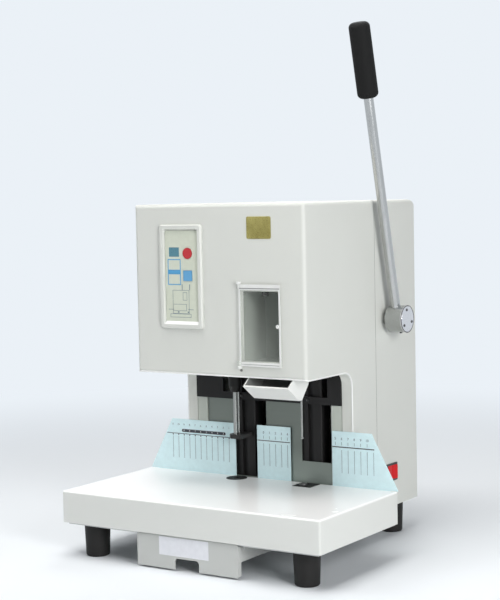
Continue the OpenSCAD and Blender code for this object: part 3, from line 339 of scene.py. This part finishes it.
# Stretches that draw the noise out into brushed lines along an axis
LINES_X = (0.05, 1.0, 1.0)
LINES_Y = (1.0, 0.05, 1.0)
LINES_Z = (1.0, 1.0, 0.05)
FAINT_X = (0.1, 1.0, 1.0)
FAINT_Z = (1.0, 1.0, 0.2)
ROD_LINES = (1.0, 1.0, 0.04)

# The lever's lean, the centres of the turned faces, and the heights between which the grey panel is painted
# paler, as painted light reflected from the white table below
ROD_TURN = (math.radians(-13.7), 0, 0)
HUB_CENTRE = (156, *HUB_AXIS)
CAP_CENTRE = (170, *HUB_AXIS)
PAINTED_BOUNCE_FOOT = (140, 100)

FINISH = {
    # The shell's colour has a painted shade line along the side seam.
    "shell": powder_coat("shell_powder_coat", (0.655, 0.665, 0.625), seam=SEAM),
    # The table's upper face colour is whiter than its walls as painted light from above.
    "table": table_enamel("table_enamel", (0.70, 0.71, 0.68), (0.955, 0.955, 0.95)),
    "tray": powder_coat("tray_powder_coat", (0.77, 0.775, 0.75), rough=0.36, grain=0.08),
    "frame": powder_coat("frame_paint", (0.50, 0.53, 0.48), rough=0.45),
    "compartment": powder_coat("compartment_paint", (0.24, 0.265, 0.235), rough=0.5),
    "drawer": powder_coat("drawer_paint", (0.54, 0.55, 0.53), rough=0.40, grain=0.08),
    "black": black_finish("black_paint", (0.013, 0.0125, 0.0125), rough=0.40, streak=0.25),
    "tool_black": black_finish("tool_black", (0.012, 0.0115, 0.011), rough=0.42, streak=0.2),
    "foot_black": black_finish("press_foot_black", (0.034, 0.0335, 0.033), rough=0.40, streak=0.2),
    # The grey panel's colour is painted paler towards its foot: painted light reflected from the white table.
    "satin": brushed_metal("satin_panel", (0.180, 0.200, 0.180), 0.48, LINES_X, painted_bounce_foot=PAINTED_BOUNCE_FOOT),
    "zinc": brushed_metal("zinc_plate", (0.50, 0.51, 0.50), 0.42, LINES_Y),
    "screw": brushed_metal("screw_zinc", (0.55, 0.55, 0.54), 0.32, FAINT_Z),
    "dark_screw": brushed_metal("screw_black", (0.09, 0.09, 0.09), 0.42, FAINT_Z),
    "rod": brushed_metal("rod_steel", (0.50, 0.505, 0.50), 0.20, ROD_LINES, ROD_TURN, grain=0.015),
    "steel": brushed_metal("ground_steel", (0.55, 0.55, 0.54), 0.28, LINES_Z),
    "tool": brushed_metal("tool_steel", (0.33, 0.335, 0.32), 0.26, LINES_Z),
    "oiled": brushed_metal("oiled_steel", (0.20, 0.20, 0.195), 0.40, FAINT_X),
    "bronze": brushed_metal("bush_bronze", (0.45, 0.30, 0.12), 0.35, FAINT_X),
    "hub": turned_metal("hub_chrome", (0.44, 0.45, 0.44), 0.24, HUB_CENTRE, rings=450.0),
    "cap": turned_metal("cap_chrome", (0.70, 0.70, 0.72), 0.20, CAP_CENTRE, rings=380.0),
    "foil": gold_foil("gold_foil", (0.16, 0.13, 0.03), (0.62, 0.54, 0.20)),
    "acrylic": clear_acrylic("clear_acrylic", (0.78, 0.83, 0.755)),
    "plate": printed("scale_plate_film", (0.68, 0.87, 0.905), rough=0.36),
    "ink": printed("scale_ink", (0.03, 0.035, 0.045)),
    "ink_grey": printed("scale_ink_thin", (0.16, 0.22, 0.25)),
    "ink_number": printed("scale_ink_number", (0.10, 0.14, 0.17)),
    "white_ink": printed("white_ink", (0.80, 0.80, 0.78)),
    "blue_ink": printed("blue_ink", (0.091, 0.346, 0.613), rough=0.42),
    "overlay": printed("overlay_film", (0.612, 0.644, 0.539)),
    "label": printed("label_paper", (0.78, 0.79, 0.83), rough=0.6),
    # A dark grey for painted shade lines on the door's rim and for the screw under the lower hinge peg.
    "groove": printed("groove_grey", (0.20, 0.205, 0.19), rough=0.6),
    "insert_black": moulded("insert_black", (0.014, 0.014, 0.0138), 0.62, grain=0.1, shine=0.2),
    "rubber": moulded("foot_rubber", (0.013, 0.0125, 0.012), 0.6, grain=0.2, scale=700.0, shine=0.25),
    "grip": moulded("grip_foam", (0.010, 0.010, 0.010), 0.72, grain=0.35, scale=1300.0, depth=0.0006,
                    shine=0.15),
    "belt": moulded("belt_rubber", (0.02, 0.02, 0.02), 0.6),
    "plastic": moulded("black_plastic", (0.022, 0.021, 0.021), 0.42),
    "red": moulded("red_plastic", (0.58, 0.010, 0.014), 0.36, grain=0.05, shine=0.25),
    "red_key": moulded("red_key_dome", (0.50, 0.018, 0.026), 0.32, grain=0.05, coat=0.3),
    "blue_key": moulded("blue_key_dome", (0.117, 0.348, 0.60), 0.32, grain=0.05, coat=0.3),
    "display": moulded("display_window", (0.085, 0.225, 0.285), 0.3, grain=0.03, coat=0.1),
    "white_part": moulded("white_plastic", (0.72, 0.725, 0.71), 0.36, grain=0.05),
    # A white much paler than the shell's paint: painted highlight on the bead round the throat and on the
    # panel's sill.
    "highlight_white": moulded("painted_highlight_white", (0.84, 0.845, 0.83), 0.36, grain=0.05),
    "board": moulded("board_green", (0.02, 0.16, 0.07), 0.4, grain=0.1),
    "motor": moulded("motor_case", (0.12, 0.13, 0.14), 0.45),
    # A dark grey sheet inside the catch tray: painted shade, where the tray's inside lies in shadow under the
    # head.
    "shade_sheet": moulded("tray_lining", (0.22, 0.225, 0.215), 0.7, grain=0.2, shine=0.3),
}

NODE_FINISH = {
    "shell": ("front_shell", "rear_shell", "panel_frame"),
    "table": ("table_top",),
    "tray": ("catch_tray",),
    "frame": ("side_frame_left", "side_frame_right"),
    "compartment": ("tube_box",),
    "drawer": ("drawer", "drawer_runners"),
    "black": ("cross_plate", "drill_guide", "rivet_guide", "top_bridge", "drill_slide", "rivet_slide"),
    "tool_black": ("chuck", "rivet_heater"),
    "foot_black": ("press_foot",),
    "satin": ("front_panel",),
    "zinc": ("base_plate", "chip_tube", "stop_bar"),
    "rod": ("lever_rod",),
    "steel": ("lever_shaft", "spindle_tube", "press_spring", "drill_spring", "rivet_spring", "motor_pulley",
              "spindle_pulley"),
    "tool": ("drill_bit", "press_rod", "rivet_ram"),
    "oiled": ("drill_pinion", "rivet_pinion", "stop_collar", "drill_rack", "rivet_rack", "lower_die"),
    "bronze": ("shaft_bushes",),
    "hub": ("lever_hub",),
    "cap": ("hub_cap",),
    "acrylic": ("door_pane",),
    "plate": ("scale_plates",),
    "overlay": ("panel_overlay",),
    "insert_black": ("cutting_ring", "die_insert"),
    "rubber": ("feet",),
    "grip": ("lever_grip",),
    "belt": ("drive_belt",),
    "plastic": ("switch_bezel", "power_inlet"),
    "red": ("rocker",),
    "red_key": ("red_key",),
    "blue_key": ("blue_key",),
    "display": ("display_window",),
    "white_part": ("hinge_pegs",),
    "board": ("control_board",),
    "motor": ("drill_motor",),
}
for finish_name, members in NODE_FINISH.items():
    for member in members:
        mesh = NODES[member].data
        mesh.materials.clear()
        mesh.materials.append(FINISH[finish_name])


# Pieces

# Thickness of a print, corners of a bead's section, directions, and the turn that stands a flat shape up
PRINT = 0.12
BEAD_CORNERS = 10
FRONT, BACK, RIGHT, DOWN = (0, -1, 0), (0, 1, 0), (1, 0, 0), (0, 0, -1)
UPRIGHT = Matrix.Rotation(math.pi / 2, 4, "X")


def piece(name, bm, finish, body):
    """Turns a bmesh into a piece with a finish and a body to ride on, if any."""
    bmesh.ops.recalc_face_normals(bm, faces=bm.faces)
    mesh = bpy.data.meshes.new(name)
    bm.to_mesh(mesh)
    bm.free()
    mesh.materials.append(FINISH[finish])
    obj = bpy.data.objects.new(name, mesh)
    bpy.context.scene.collection.objects.link(obj)
    if body:
        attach(obj, body)
    return obj


def soften(bm, edges, width):
    """Rounds edges off."""
    bmesh.ops.bevel(bm, geom=list(edges), offset=width * MM, offset_type="OFFSET", segments=2,
                    profile=0.5, affect="EDGES", material=-1)


def verts_of(geometry):
    """The vertices in an operator's mixed result."""
    return [item for item in geometry if isinstance(item, bmesh.types.BMVert)]


def add_block(bm, x, y, z, bevel=0.0):
    """Adds a block between pairs of limits, its edges softened."""
    low = Vector((x[0], y[0], z[0])) * MM
    high = Vector((x[1], y[1], z[1])) * MM
    place = Matrix.Translation((low + high) / 2) @ Matrix.Diagonal((*(high - low), 1.0))
    made = bmesh.ops.create_cube(bm, size=1.0, matrix=place)
    if bevel:
        soften(bm, {edge for vert in made["verts"] for edge in vert.link_edges}, bevel)


def add_plate(bm, x, z, y, thick, corner, bevel=0.0):
    """Adds a plate with round corners that stands on a front-facing wall at y."""
    wide, high = (x[1] - x[0]) * MM, (z[1] - z[0]) * MM
    place = Matrix.Translation(Vector((sum(x) / 2, y, sum(z) / 2)) * MM)
    made = bmesh.ops.create_grid(bm, x_segments=1, y_segments=1, size=0.5,
                                 matrix=place @ UPRIGHT @ Matrix.Diagonal((wide, high, 1.0, 1.0)))
    rounded = bmesh.ops.bevel(bm, geom=made["verts"], offset=corner * MM, offset_type="OFFSET", segments=6,
                              profile=0.5, affect="VERTICES", material=-1)
    sheet = {face for vert in rounded["verts"] for face in vert.link_faces}
    raised = bmesh.ops.extrude_face_region(bm, geom=list(sheet))["geom"]
    front = [item for item in raised if isinstance(item, bmesh.types.BMFace)]
    bmesh.ops.translate(bm, verts=verts_of(raised), vec=Vector(FRONT) * thick * MM)
    if bevel:
        soften(bm, {edge for face in front for edge in face.edges}, bevel)


def add_screw(bm, place, axis, radius, height):
    """Adds a screw with a socket in its tapered head, which stands out along an axis."""
    taper, rim, socket = 0.78, 0.36, 0.5
    turn = Vector(axis).to_track_quat("Z", "Y").to_matrix().to_4x4()
    spot = Matrix.Translation(Vector(place) * MM) @ turn
    lift = Matrix.Translation((0.0, 0.0, height * MM / 2))
    made = bmesh.ops.create_cone(bm, cap_ends=True, segments=24, radius1=radius * MM,
                                 radius2=taper * radius * MM, depth=height * MM, matrix=spot @ lift)
    faces = {face for vert in made["verts"] for face in vert.link_faces}
    top = max(faces, key=lambda face: face.calc_center_median().dot(Vector(axis)))
    bm.normal_update()
    bmesh.ops.inset_region(bm, faces=[top], thickness=rim * radius * MM, depth=-socket * height * MM)


def add_bead(bm, path, radius, closed=False):
    """Adds a round bead along a path of points, or around a closed one."""
    last = len(path) - 1
    before = path[1] - path[0]
    turn = before.to_track_quat("Z", "Y")
    rings = []
    for i, point in enumerate(path):
        following = path[0 if closed and i == last else min(i + 1, last)]
        ahead = following - path[i - 1 if closed else max(i - 1, 0)]
        turn = before.rotation_difference(ahead) @ turn
        before = ahead
        place = Matrix.Translation(point * MM) @ turn.to_matrix().to_4x4()
        made = bmesh.ops.create_circle(bm, cap_ends=not closed and i in (0, last), segments=BEAD_CORNERS,
                                       radius=radius * MM, matrix=place)
        rings.append({edge for vert in made["verts"] for edge in vert.link_edges})
    for ring, next_ring in zip(rings, rings[1:] + rings[:1] if closed else rings[1:]):
        bmesh.ops.bridge_loops(bm, edges=list(ring | next_ring))


def add_numeral(bm, words, size, x, z, y):
    """Adds upright numerals, centred on a place on a front-facing wall at y."""
    curve = bpy.data.curves.new("numeral", "FONT")
    curve.body = words
    curve.size = size * MM
    curve.align_x = "CENTER"
    curve.align_y = "CENTER"
    curve.extrude = PRINT / 2 * MM
    curve.resolution_u = 4
    holder = bpy.data.objects.new("numeral", curve)
    bpy.context.scene.collection.objects.link(holder)
    ready = holder.evaluated_get(bpy.context.evaluated_depsgraph_get())
    mesh = bpy.data.meshes.new_from_object(ready)
    bpy.data.objects.remove(holder)
    bpy.data.curves.remove(curve)
    mesh.transform(Matrix.Translation(Vector((x, y - PRINT / 2, z)) * MM) @ UPRIGHT)
    bm.from_mesh(mesh)
    bpy.data.meshes.remove(mesh)


# Print on the scale plates

SCALE_Y = limits("scale_plates")[1][0]
SCALE_INK = (SCALE_Y - PRINT, SCALE_Y + PRINT)
GRADUATION = 10.0
RULE_Z = TABLE_Z + 54.0
NUMBER_Z = RULE_Z + 11.5
LEFT_MARKS = [DRILL_X - 23.4 - GRADUATION * i for i in range(11)]
CENTRE_MARKS = [DRILL_X + 36.0 + GRADUATION * i for i in range(5)]
RIGHT_MARKS = [RIVET_X + 53.0 + GRADUATION * i for i in range(6)]


def scale_rules():
    """A level rule on each plate, with small arrow tips hanging from the left one."""
    left_rule = (LEFT_MARKS[-1] - 11, LEFT_MARKS[0] + 10)
    centre_rule = (DRILL_X + 25.5, DRILL_X + 80)
    right_rule = (RIVET_X + 38, RIGHT_MARKS[-1] + 1)
    tip_r, tip_drop = 1.5, 1.6
    bm = bmesh.new()
    for rule, thick in ((left_rule, 0.9), (centre_rule, 1.1), (right_rule, 1.4)):
        add_block(bm, rule, SCALE_INK, (RULE_Z - thick / 2, RULE_Z + thick / 2))
    for x in LEFT_MARKS:
        place = Matrix.Translation(Vector((x, SCALE_Y - PRINT / 2, RULE_Z - tip_drop)) * MM)
        bmesh.ops.create_cone(bm, cap_ends=True, segments=3, radius1=tip_r * MM, radius2=tip_r * MM,
                              depth=PRINT * MM, matrix=place @ UPRIGHT @ Matrix.Rotation(math.pi, 4, "Z"))
    piece("scale_rules", bm, "ink", "base")


def scale_thin_lines():
    """Thin upright lines under the rules, and short ticks over the centre and right ones."""
    half = 0.28
    lines_z = (TABLE_Z + 18, RULE_Z - 4)
    ticks_z = (RULE_Z + 2.5, RULE_Z + 7)
    bm = bmesh.new()
    for x in LEFT_MARKS + CENTRE_MARKS + RIGHT_MARKS:
        add_block(bm, (x - half, x + half), SCALE_INK, lines_z)
    for x in CENTRE_MARKS + [mark - GRADUATION for mark in RIGHT_MARKS]:
        add_block(bm, (x - half, x + half), SCALE_INK, ticks_z)
    piece("scale_thin_lines", bm, "ink_grey", "base")


def scale_numerals():
    """Numerals over the rules."""
    small, large, small_rise = 4.0, 5.0, 2.0
    bm = bmesh.new()
    for i, x in enumerate(LEFT_MARKS):
        add_numeral(bm, str(i + 1), small, x, NUMBER_Z + small_rise, SCALE_Y)
    for i, x in enumerate(CENTRE_MARKS):
        add_numeral(bm, str(i), large, x, NUMBER_Z, SCALE_Y)
    for i, x in enumerate(RIGHT_MARKS):
        add_numeral(bm, str(i + len(CENTRE_MARKS)), large, x - GRADUATION, NUMBER_Z, SCALE_Y)
    piece("scale_numerals", bm, "ink_number", "base")


def scale_strip():
    """A black strip over the left rule, with pale numerals on it."""
    first, last = 1, 8
    strip_z = (RULE_Z + 2.6, RULE_Z + 7.0)
    beyond, corner, size = 4, 2.1, 3.6
    strip = bmesh.new()
    add_plate(strip, (LEFT_MARKS[last] - beyond, LEFT_MARKS[first] + beyond), strip_z, SCALE_Y, PRINT, corner)
    piece("scale_strip", strip, "ink", "base")
    numerals = bmesh.new()
    for i in range(first, last + 1):
        add_numeral(numerals, str(i + 1), size, LEFT_MARKS[i], sum(strip_z) / 2, SCALE_Y - PRINT)
    piece("strip_numerals", numerals, "white_ink", "base")


# Control panel

PANEL_X, PANEL_Y, PANEL_Z = limits("panel_overlay")
PANEL_FACE = PANEL_Y[0]
PANEL_INK = (PANEL_FACE - PRINT, PANEL_FACE + PRINT)


def add_frame(bm, x, z, line):
    """Adds a rectangle of four lines, printed on the panel."""
    add_block(bm, x, PANEL_INK, (z[0], z[0] + line))
    add_block(bm, x, PANEL_INK, (z[1] - line, z[1]))
    add_block(bm, (x[0], x[0] + line), PANEL_INK, (z[0] + line, z[1] - line))
    add_block(bm, (x[1] - line, x[1]), PANEL_INK, (z[0] + line, z[1] - line))


def panel_boxes():
    """Two blue boxes beside the keys, and the band that joins them."""
    across = shifted((4.0, 25.8), PANEL_X[0])
    upper = shifted((-54.9, -39.0), PANEL_Z[1])
    lower = shifted((-74.5, -58.6), PANEL_Z[1])
    line, overlap = 1.3, 0.2
    bm = bmesh.new()
    for box_z in (upper, lower):
        add_frame(bm, across, box_z, line)
    add_block(bm, across, PANEL_INK, (lower[1] - overlap, upper[0] + overlap))
    piece("panel_boxes", bm, "blue_ink", "base")


def panel_drawing():
    """Plain line drawing of a machine, from the panel's left edge and the drawing's foot."""
    left, foot = PANEL_X[0], PANEL_Z[1] - 119.0
    table, body = ((7.0, 42.0), (0.0, 5.0)), ((11.5, 39.0), (5.0, 37.5))
    throat, window = ((11.5, 34.5), (9.0, 18.3)), ((28.5, 35.5), (23.5, 34.5))
    posts_z, tips_z, leads_z = (37.5, 45.5), (6.5, 8.3), (10.6, 11.3)
    bars = (((27.0, 28.1), posts_z), ((39.5, 40.6), posts_z), ((19.5, 22.1), tips_z), ((36.0, 38.6), tips_z),
            ((4.0, 13.0), leads_z), ((37.0, 46.0), leads_z))
    line = 0.55
    bm = bmesh.new()
    for across, up in (table, body, throat, window):
        add_frame(bm, shifted(across, left), shifted(up, foot), line)
    for across, up in bars:
        add_block(bm, shifted(across, left), PANEL_INK, shifted(up, foot))
    piece("panel_drawing", bm, "ink_grey", "base")


def panel_sill():
    """Sloped sill on the lower inner edge of the panel's frame, pale as a painted highlight where the slope
    faces up to the light.
    """
    spread, rise, sink, back = 2.3, 2.1, 0.3, 0.2
    front = limits("panel_frame")[1][0] + back
    foot = PANEL_Z[0]
    bm = bmesh.new()
    for end, out in ((PANEL_X[0], -spread), (PANEL_X[1], spread)):
        corners = ((end + out, front, foot - spread), (end, PANEL_FACE + sink, foot - sink),
                   (end, PANEL_FACE, foot + rise))
        bm.faces.new([bm.verts.new(Vector(corner) * MM) for corner in corners])
    bmesh.ops.bridge_loops(bm, edges=bm.edges[:])
    piece("panel_sill", bm, "highlight_white", "base")


# Plates, labels and trim

def badge():
    """A bare gold badge on the head."""
    across, upright = (48.7, 86.9), (437.4, 467.0)
    thick, corner, bevel = 0.7, 2.5, 0.2
    bm = bmesh.new()
    add_plate(bm, across, upright, FACE_Y, thick, corner, bevel)
    piece("badge", bm, "foil", "base")


def drawer_label():
    """A blank paper label on the drawer's front."""
    across, upright = (-45.0, 35.0), (20.3, 45.0)
    thick, corner = 0.15, 0.6
    bm = bmesh.new()
    add_plate(bm, across, upright, limits("drawer")[1][0], thick, corner)
    piece("drawer_label", bm, "label", "chip_drawer")


def door_trim():
    """Pale rim on the door's edges, dark lines across its top and bottom bars as painted shade of the gaps
    along them, and a cap on the door's knob.
    """
    x, y, z = limits("door_pane")
    left, right = middle("hinge_pegs", 0), x[1]
    pane, rim, cover, sink = 2.2, 1.0, 0.15, 0.5
    front = y[1] - pane - rim
    deep = (front - cover, front + sink)
    side, top, foot, bevel = 2.8, 7.2, 5.8, 0.3
    sides_z = (z[0] + foot, z[1] - top)
    bars = bmesh.new()
    add_block(bars, (left, right), deep, (z[1] - top, z[1]), bevel)
    add_block(bars, (left, right), deep, (z[0], z[0] + foot), bevel)
    add_block(bars, (left, left + side), deep, sides_z, bevel)
    add_block(bars, (right - side, right), deep, sides_z, bevel)
    piece("door_rim", bars, "white_part", "door")

    # Painted shade: dark lines across the rim's top and bottom bars, where the gaps along them fall in shade.
    grooves = bmesh.new()
    proud = 0.03
    cut = (deep[0] - proud, front)
    add_block(grooves, (left + 1.5, right - 1.0), cut, shifted((-5.9, -4.7), z[1]))
    add_block(grooves, (left + 3.0, right - 3.0), cut, shifted((2.4, 3.0), z[0]))
    piece("door_grooves", grooves, "groove", "door")

    knob = bmesh.new()
    inset, overlap = 2.5, 0.2
    add_screw(knob, (right - inset, y[0] + overlap, sum(z) / 2), FRONT, radius=2.7, height=1.0)
    piece("door_knob_cap", knob, "white_part", "door")


def tray_lining():
    """Dark sheet in the catch tray, painted shade of its shadowed inside, open at its mouth: floor, front, back
    and both ends.
    """
    x, y, z = limits("catch_tray")
    wall, clear, sheet, flange = 1.5, 0.12, 0.5, 10.0
    start, end = x[0] + wall + clear, x[1] - wall - clear
    front_y, back_y = y[0], y[1] - flange
    outline = [(front_y + 2.8, z[1] - 9.1), (front_y + 27.3, z[0] + 3.3), (front_y + 34.2, z[0] + 3.3),
               (back_y - 3.8, z[1] - 7.0), (back_y - 1.9, z[1] - 1.8), (front_y + 13.4, z[1] - 0.5)]
    bm = bmesh.new()
    corners = [bm.verts.new(Vector((start, *point)) * MM) for point in outline]
    near_end = bm.faces.new(corners)
    far_end = bmesh.ops.extrude_face_region(bm, geom=[near_end])["geom"]
    bmesh.ops.translate(bm, verts=verts_of(far_end), vec=((end - start) * MM, 0.0, 0.0))
    mouth = [face for face in corners[-1].link_faces if face is not near_end]
    bmesh.ops.delete(bm, geom=mouth, context="FACES")
    bmesh.ops.recalc_face_normals(bm, faces=bm.faces)
    bmesh.ops.solidify(bm, geom=bm.faces[:], thickness=sheet * MM)
    piece("tray_lining", bm, "shade_sheet", "base")


def edge_trim():
    """Bead along the housing's edge around the throat, up both cheeks and across the head, white as a painted
    highlight on that edge.
    """
    side = limits("front_shell")[0][1]
    _, plates_y, plates_z = limits("scale_plates")
    column_y = plates_y[1]
    head_z = limits("catch_tray")[2][1]
    arch_r, arch_steps, sink, clear, bead = 20.0, 12, 0.3, 1.0, 1.15
    half = [Vector((side - sink, column_y + sink, plates_z[1] + clear))]
    for i in range(arch_steps + 1):
        turn = math.radians(90 * i / arch_steps)
        half.append(Vector((side - sink, column_y - arch_r + (arch_r + sink) * math.cos(turn),
                            head_z - arch_r + (arch_r + sink) * math.sin(turn))))
    for inward, behind, rise in ((sink, 9.0, 0.3), (sink, 5.0, 0.5), (0.8, 2.8, 1.0), (2.0, 1.3, 1.4)):
        half.append(Vector((side - inward, FACE_Y + behind, head_z + rise)))
    path = half + [Vector((-point.x, point.y, point.z)) for point in reversed(half)]
    bm = bmesh.new()
    add_bead(bm, path, bead)
    piece("edge_trim", bm, "highlight_white", "base")


def door_catch():
    """Black catch behind the window, under the compartment's ceiling."""
    _, y, z = limits("tube_box")
    across, deep, drop, sheet, bevel = (68.5, 77.0), (1.3, 6.5), 8.0, 1.2, 0.6
    ceiling = z[1] - sheet
    bm = bmesh.new()
    add_block(bm, across, shifted(deep, y[0]), (ceiling - drop, ceiling), bevel)
    piece("door_catch", bm, "black", "base")


# Springs

def live_springs():
    """Merged copies of the springs in their places: the two slides' springs stay where they are, the press
    spring rides on the drill carriage.
    """
    def wire(node, body):
        """A merged copy of a spring that takes its place, and the spring's foot and top."""
        bm = bmesh.new()
        bm.from_mesh(NODES[node].data)
        bmesh.ops.remove_doubles(bm, verts=bm.verts, dist=0.001 * MM)
        made = piece(node + "_wire", bm, "steel", body)
        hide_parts(node)
        low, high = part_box(node)
        return made, low, Vector((low.x, low.y, high.z))

    for node, slide in (("drill_spring", "drill_carriage"), ("rivet_spring", "rivet_carriage")):
        made, foot, top = wire(node, None)
        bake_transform(made)
    made, foot, top = wire("press_spring", "drill_carriage")
    lift = next(joint["range_m"][1] for joint in frame["joints"] if joint["name"] == "press_lift")
    1 - lift / (top.z - foot.z)
    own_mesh(made)


# Screws

# How far a screw's head sits in its wall
SEATED = 0.1


def hub_screws():
    """Three screws in the hub's cap, a grub screw under the hub, and the dark ring around the cap, painted
    shade of the recess edge round the cap.
    """
    cap_x, _, cap_z = limits("hub_cap")
    hub_y, hub_z = HUB_AXIS
    circle_r, ring_r, ring_steps, ring_bead = 13.2, (cap_z[1] - cap_z[0]) / 2, 48, 0.45
    ring_sink, grub_sink, grub_out = 0.2, 0.2, 4

    def on_cap(radius, turn, sink):
        """A place on the cap's face, at a radius and an angle."""
        return Vector((cap_x[1] - sink, hub_y + radius * math.cos(turn), hub_z + radius * math.sin(turn)))

    bm = bmesh.new()
    for angle in (100, 220, 340):
        add_screw(bm, on_cap(circle_r, math.radians(angle), SEATED), RIGHT, radius=2.2, height=0.8)
    grub = (middle("lever_hub", 0) + grub_out, hub_y, limits("lever_hub")[2][0] + grub_sink)
    add_screw(bm, grub, DOWN, radius=2.4, height=1.6)
    # Painted shade: a dark bead where the recess edge round the cap falls in shade.
    ring = [on_cap(ring_r, i * math.tau / ring_steps, ring_sink) for i in range(ring_steps)]
    add_bead(bm, ring, ring_bead, closed=True)
    piece("hub_screws", bm, "dark_screw", "lever")


def hinge_screws():
    """A small screw under the lower hinge peg, in a soft grey that also stands for the peg's shadow: partly a
    real screw, partly painted shadow.
    """
    below, aside = 2.6, 0.6
    place = (middle("hinge_pegs", 0) + aside, FACE_Y + SEATED, limits("hinge_pegs")[2][0] - below)
    bm = bmesh.new()
    add_screw(bm, place, FRONT, radius=1.9, height=1.6)
    piece("hinge_screws", bm, "groove", "base")


def band_screws():
    """Screws in the cross plate, over each station."""
    _, y, z = limits("cross_plate")
    from_edge = 5
    bm = bmesh.new()
    for x in (DRILL_X, RIVET_X):
        add_screw(bm, (x, y[0] + SEATED, z[0] + from_edge), FRONT, radius=2.4, height=1.5)
    piece("band_screws", bm, "dark_screw", "base")


def back_screws():
    """Screws of the inlet and along both edges of the rear shell."""
    inlet_x, inlet_y = middle("power_inlet", 0), limits("power_inlet")[1][1]
    ear, column_x, heights = 20, 127.0, (62.0, 165.0, 270.0, 375.0, 455.0)
    bm = bmesh.new()
    for side in (-1, 1):
        add_screw(bm, (inlet_x + side * ear, inlet_y - SEATED, TABLE_Z), BACK, radius=3.0, height=1.6)
        for z in heights:
            add_screw(bm, (side * column_x, BACK_Y - SEATED, z), BACK, radius=3.2, height=1.8)
    piece("back_screws", bm, "screw", "base")


def foot_screws():
    """A screw in the recess of each foot."""
    x, y, _ = limits("feet")
    foot_r, rear_x, recess = 18.0, 116.0, 12.0
    bm = bmesh.new()
    for side in (-1, 1):
        for place in ((side * (x[1] - foot_r), y[0] + foot_r), (side * rear_x, y[1] - foot_r)):
            add_screw(bm, (*place, recess + SEATED), DOWN, radius=6.0, height=4.0)
    piece("foot_screws", bm, "screw", "base")


for make in (scale_rules, scale_thin_lines, scale_numerals, scale_strip,
             panel_boxes, panel_drawing, panel_sill,
             badge, drawer_label, door_trim, tray_lining, edge_trim, door_catch, live_springs,
             hub_screws, hinge_screws, band_screws, back_screws, foot_screws):
    make()


# Stage

BACKDROP = (0.83, 0.88, 0.93)
FLOOR_HALF = 12.0
FADE = (0.45, 1.8)
FILL_LIGHT = ((0.92, 0.96, 1.0), 0.08)


def stage_floor():
    """A pale plain floor that fades into the backdrop away from the object and keeps its shadow."""
    bm = bmesh.new()
    bmesh.ops.create_grid(bm, x_segments=8, y_segments=8, size=FLOOR_HALF)
    mesh = bpy.data.meshes.new("studio_floor")
    bm.to_mesh(mesh)
    bm.free()
    floor = bpy.data.objects.new("studio_floor", mesh)
    bpy.context.scene.collection.objects.link(floor)
    f = Finish("studio_floor")
    cloud = f.noise(0.6)
    f.set(Base_Color=f.mix(cloud, (0.80, 0.83, 0.86), (0.83, 0.86, 0.89)), Roughness=0.8)
    reach = f.node("ShaderNodeVectorMath", {"operation": "LENGTH"}, {0: f.place}, out=1)
    away = f.rise(reach, *FADE, kind="SMOOTHSTEP")
    seen = sum((f.node("ShaderNodeLightPath", out=ray)
                for ray in ("Is Camera Ray", "Is Glossy Ray", "Is Transmission Ray")), 0.0)
    glow = f.node("ShaderNodeEmission", None, {"Color": BACKDROP, "Strength": 1.0})
    both = f.node("ShaderNodeMixShader", None, {0: away * seen, 1: Val(f, f.shader.outputs[0]), 2: glow})
    f.feed(f.tree.nodes["Material Output"].inputs["Surface"], both)
    mesh.materials.append(f.material)


def backdrop_world():
    """A pale backdrop that gives matt surfaces only a little light."""
    world = bpy.data.worlds.new("studio")
    bpy.context.scene.world = world
    world.use_nodes = True
    nodes, links = world.node_tree.nodes, world.node_tree.links
    fill, backdrop = nodes["Background"], nodes.new("ShaderNodeBackground")
    for background, (colour, strength) in ((fill, FILL_LIGHT), (backdrop, (BACKDROP, 1.0))):
        background.inputs["Color"].default_value = (*colour, 1.0)
        background.inputs["Strength"].default_value = strength
    path = nodes.new("ShaderNodeLightPath")
    mix = nodes.new("ShaderNodeMixShader")
    links.new(path.outputs["Is Diffuse Ray"], mix.inputs[0])
    links.new(backdrop.outputs[0], mix.inputs[1])
    links.new(fill.outputs[0], mix.inputs[2])
    links.new(mix.outputs[0], nodes["World Output"].inputs["Surface"])


def area_light(name, place, aim, size, power, tint=(1, 1, 1)):
    """A soft rectangular lamp that points at a place."""
    data = bpy.data.lights.new(name, "AREA")
    data.shape = "RECTANGLE"
    data.size, data.size_y = size
    data.energy = power
    data.color = tint
    lamp = bpy.data.objects.new(name, data)
    lamp.location = place
    lamp.rotation_euler = (Vector(aim) - Vector(place)).to_track_quat("-Z", "Y").to_euler()
    bpy.context.scene.collection.objects.link(lamp)


def studio_lights():
    """Soft light from above and the right, and weaker light from the front, left and back."""
    area_light("above", (0.0, -0.25, 2.0), aim=(0, -0.05, 0.2), size=(1.0, 1.0), power=20,
               tint=(1.0, 0.99, 0.97))
    area_light("front", (0.0, -1.3, 2.2), aim=(0, 0, 0.2), size=(1.0, 1.0), power=8)
    area_light("left", (-1.2, -0.9, 1.6), aim=(0, -0.05, 0.2), size=(0.9, 0.9), power=10)
    area_light("right", (1.78, -1.05, 0.75), aim=(0.05, 0, 0.28), size=(0.6, 0.9), power=27)
    area_light("back", (-0.6, 1.8, 2.2), aim=(0, 0, 0.3), size=(1.6, 1.2), power=18)


bpy.context.scene.view_settings.view_transform = "Standard"
stage_floor()
backdrop_world()
studio_lights()
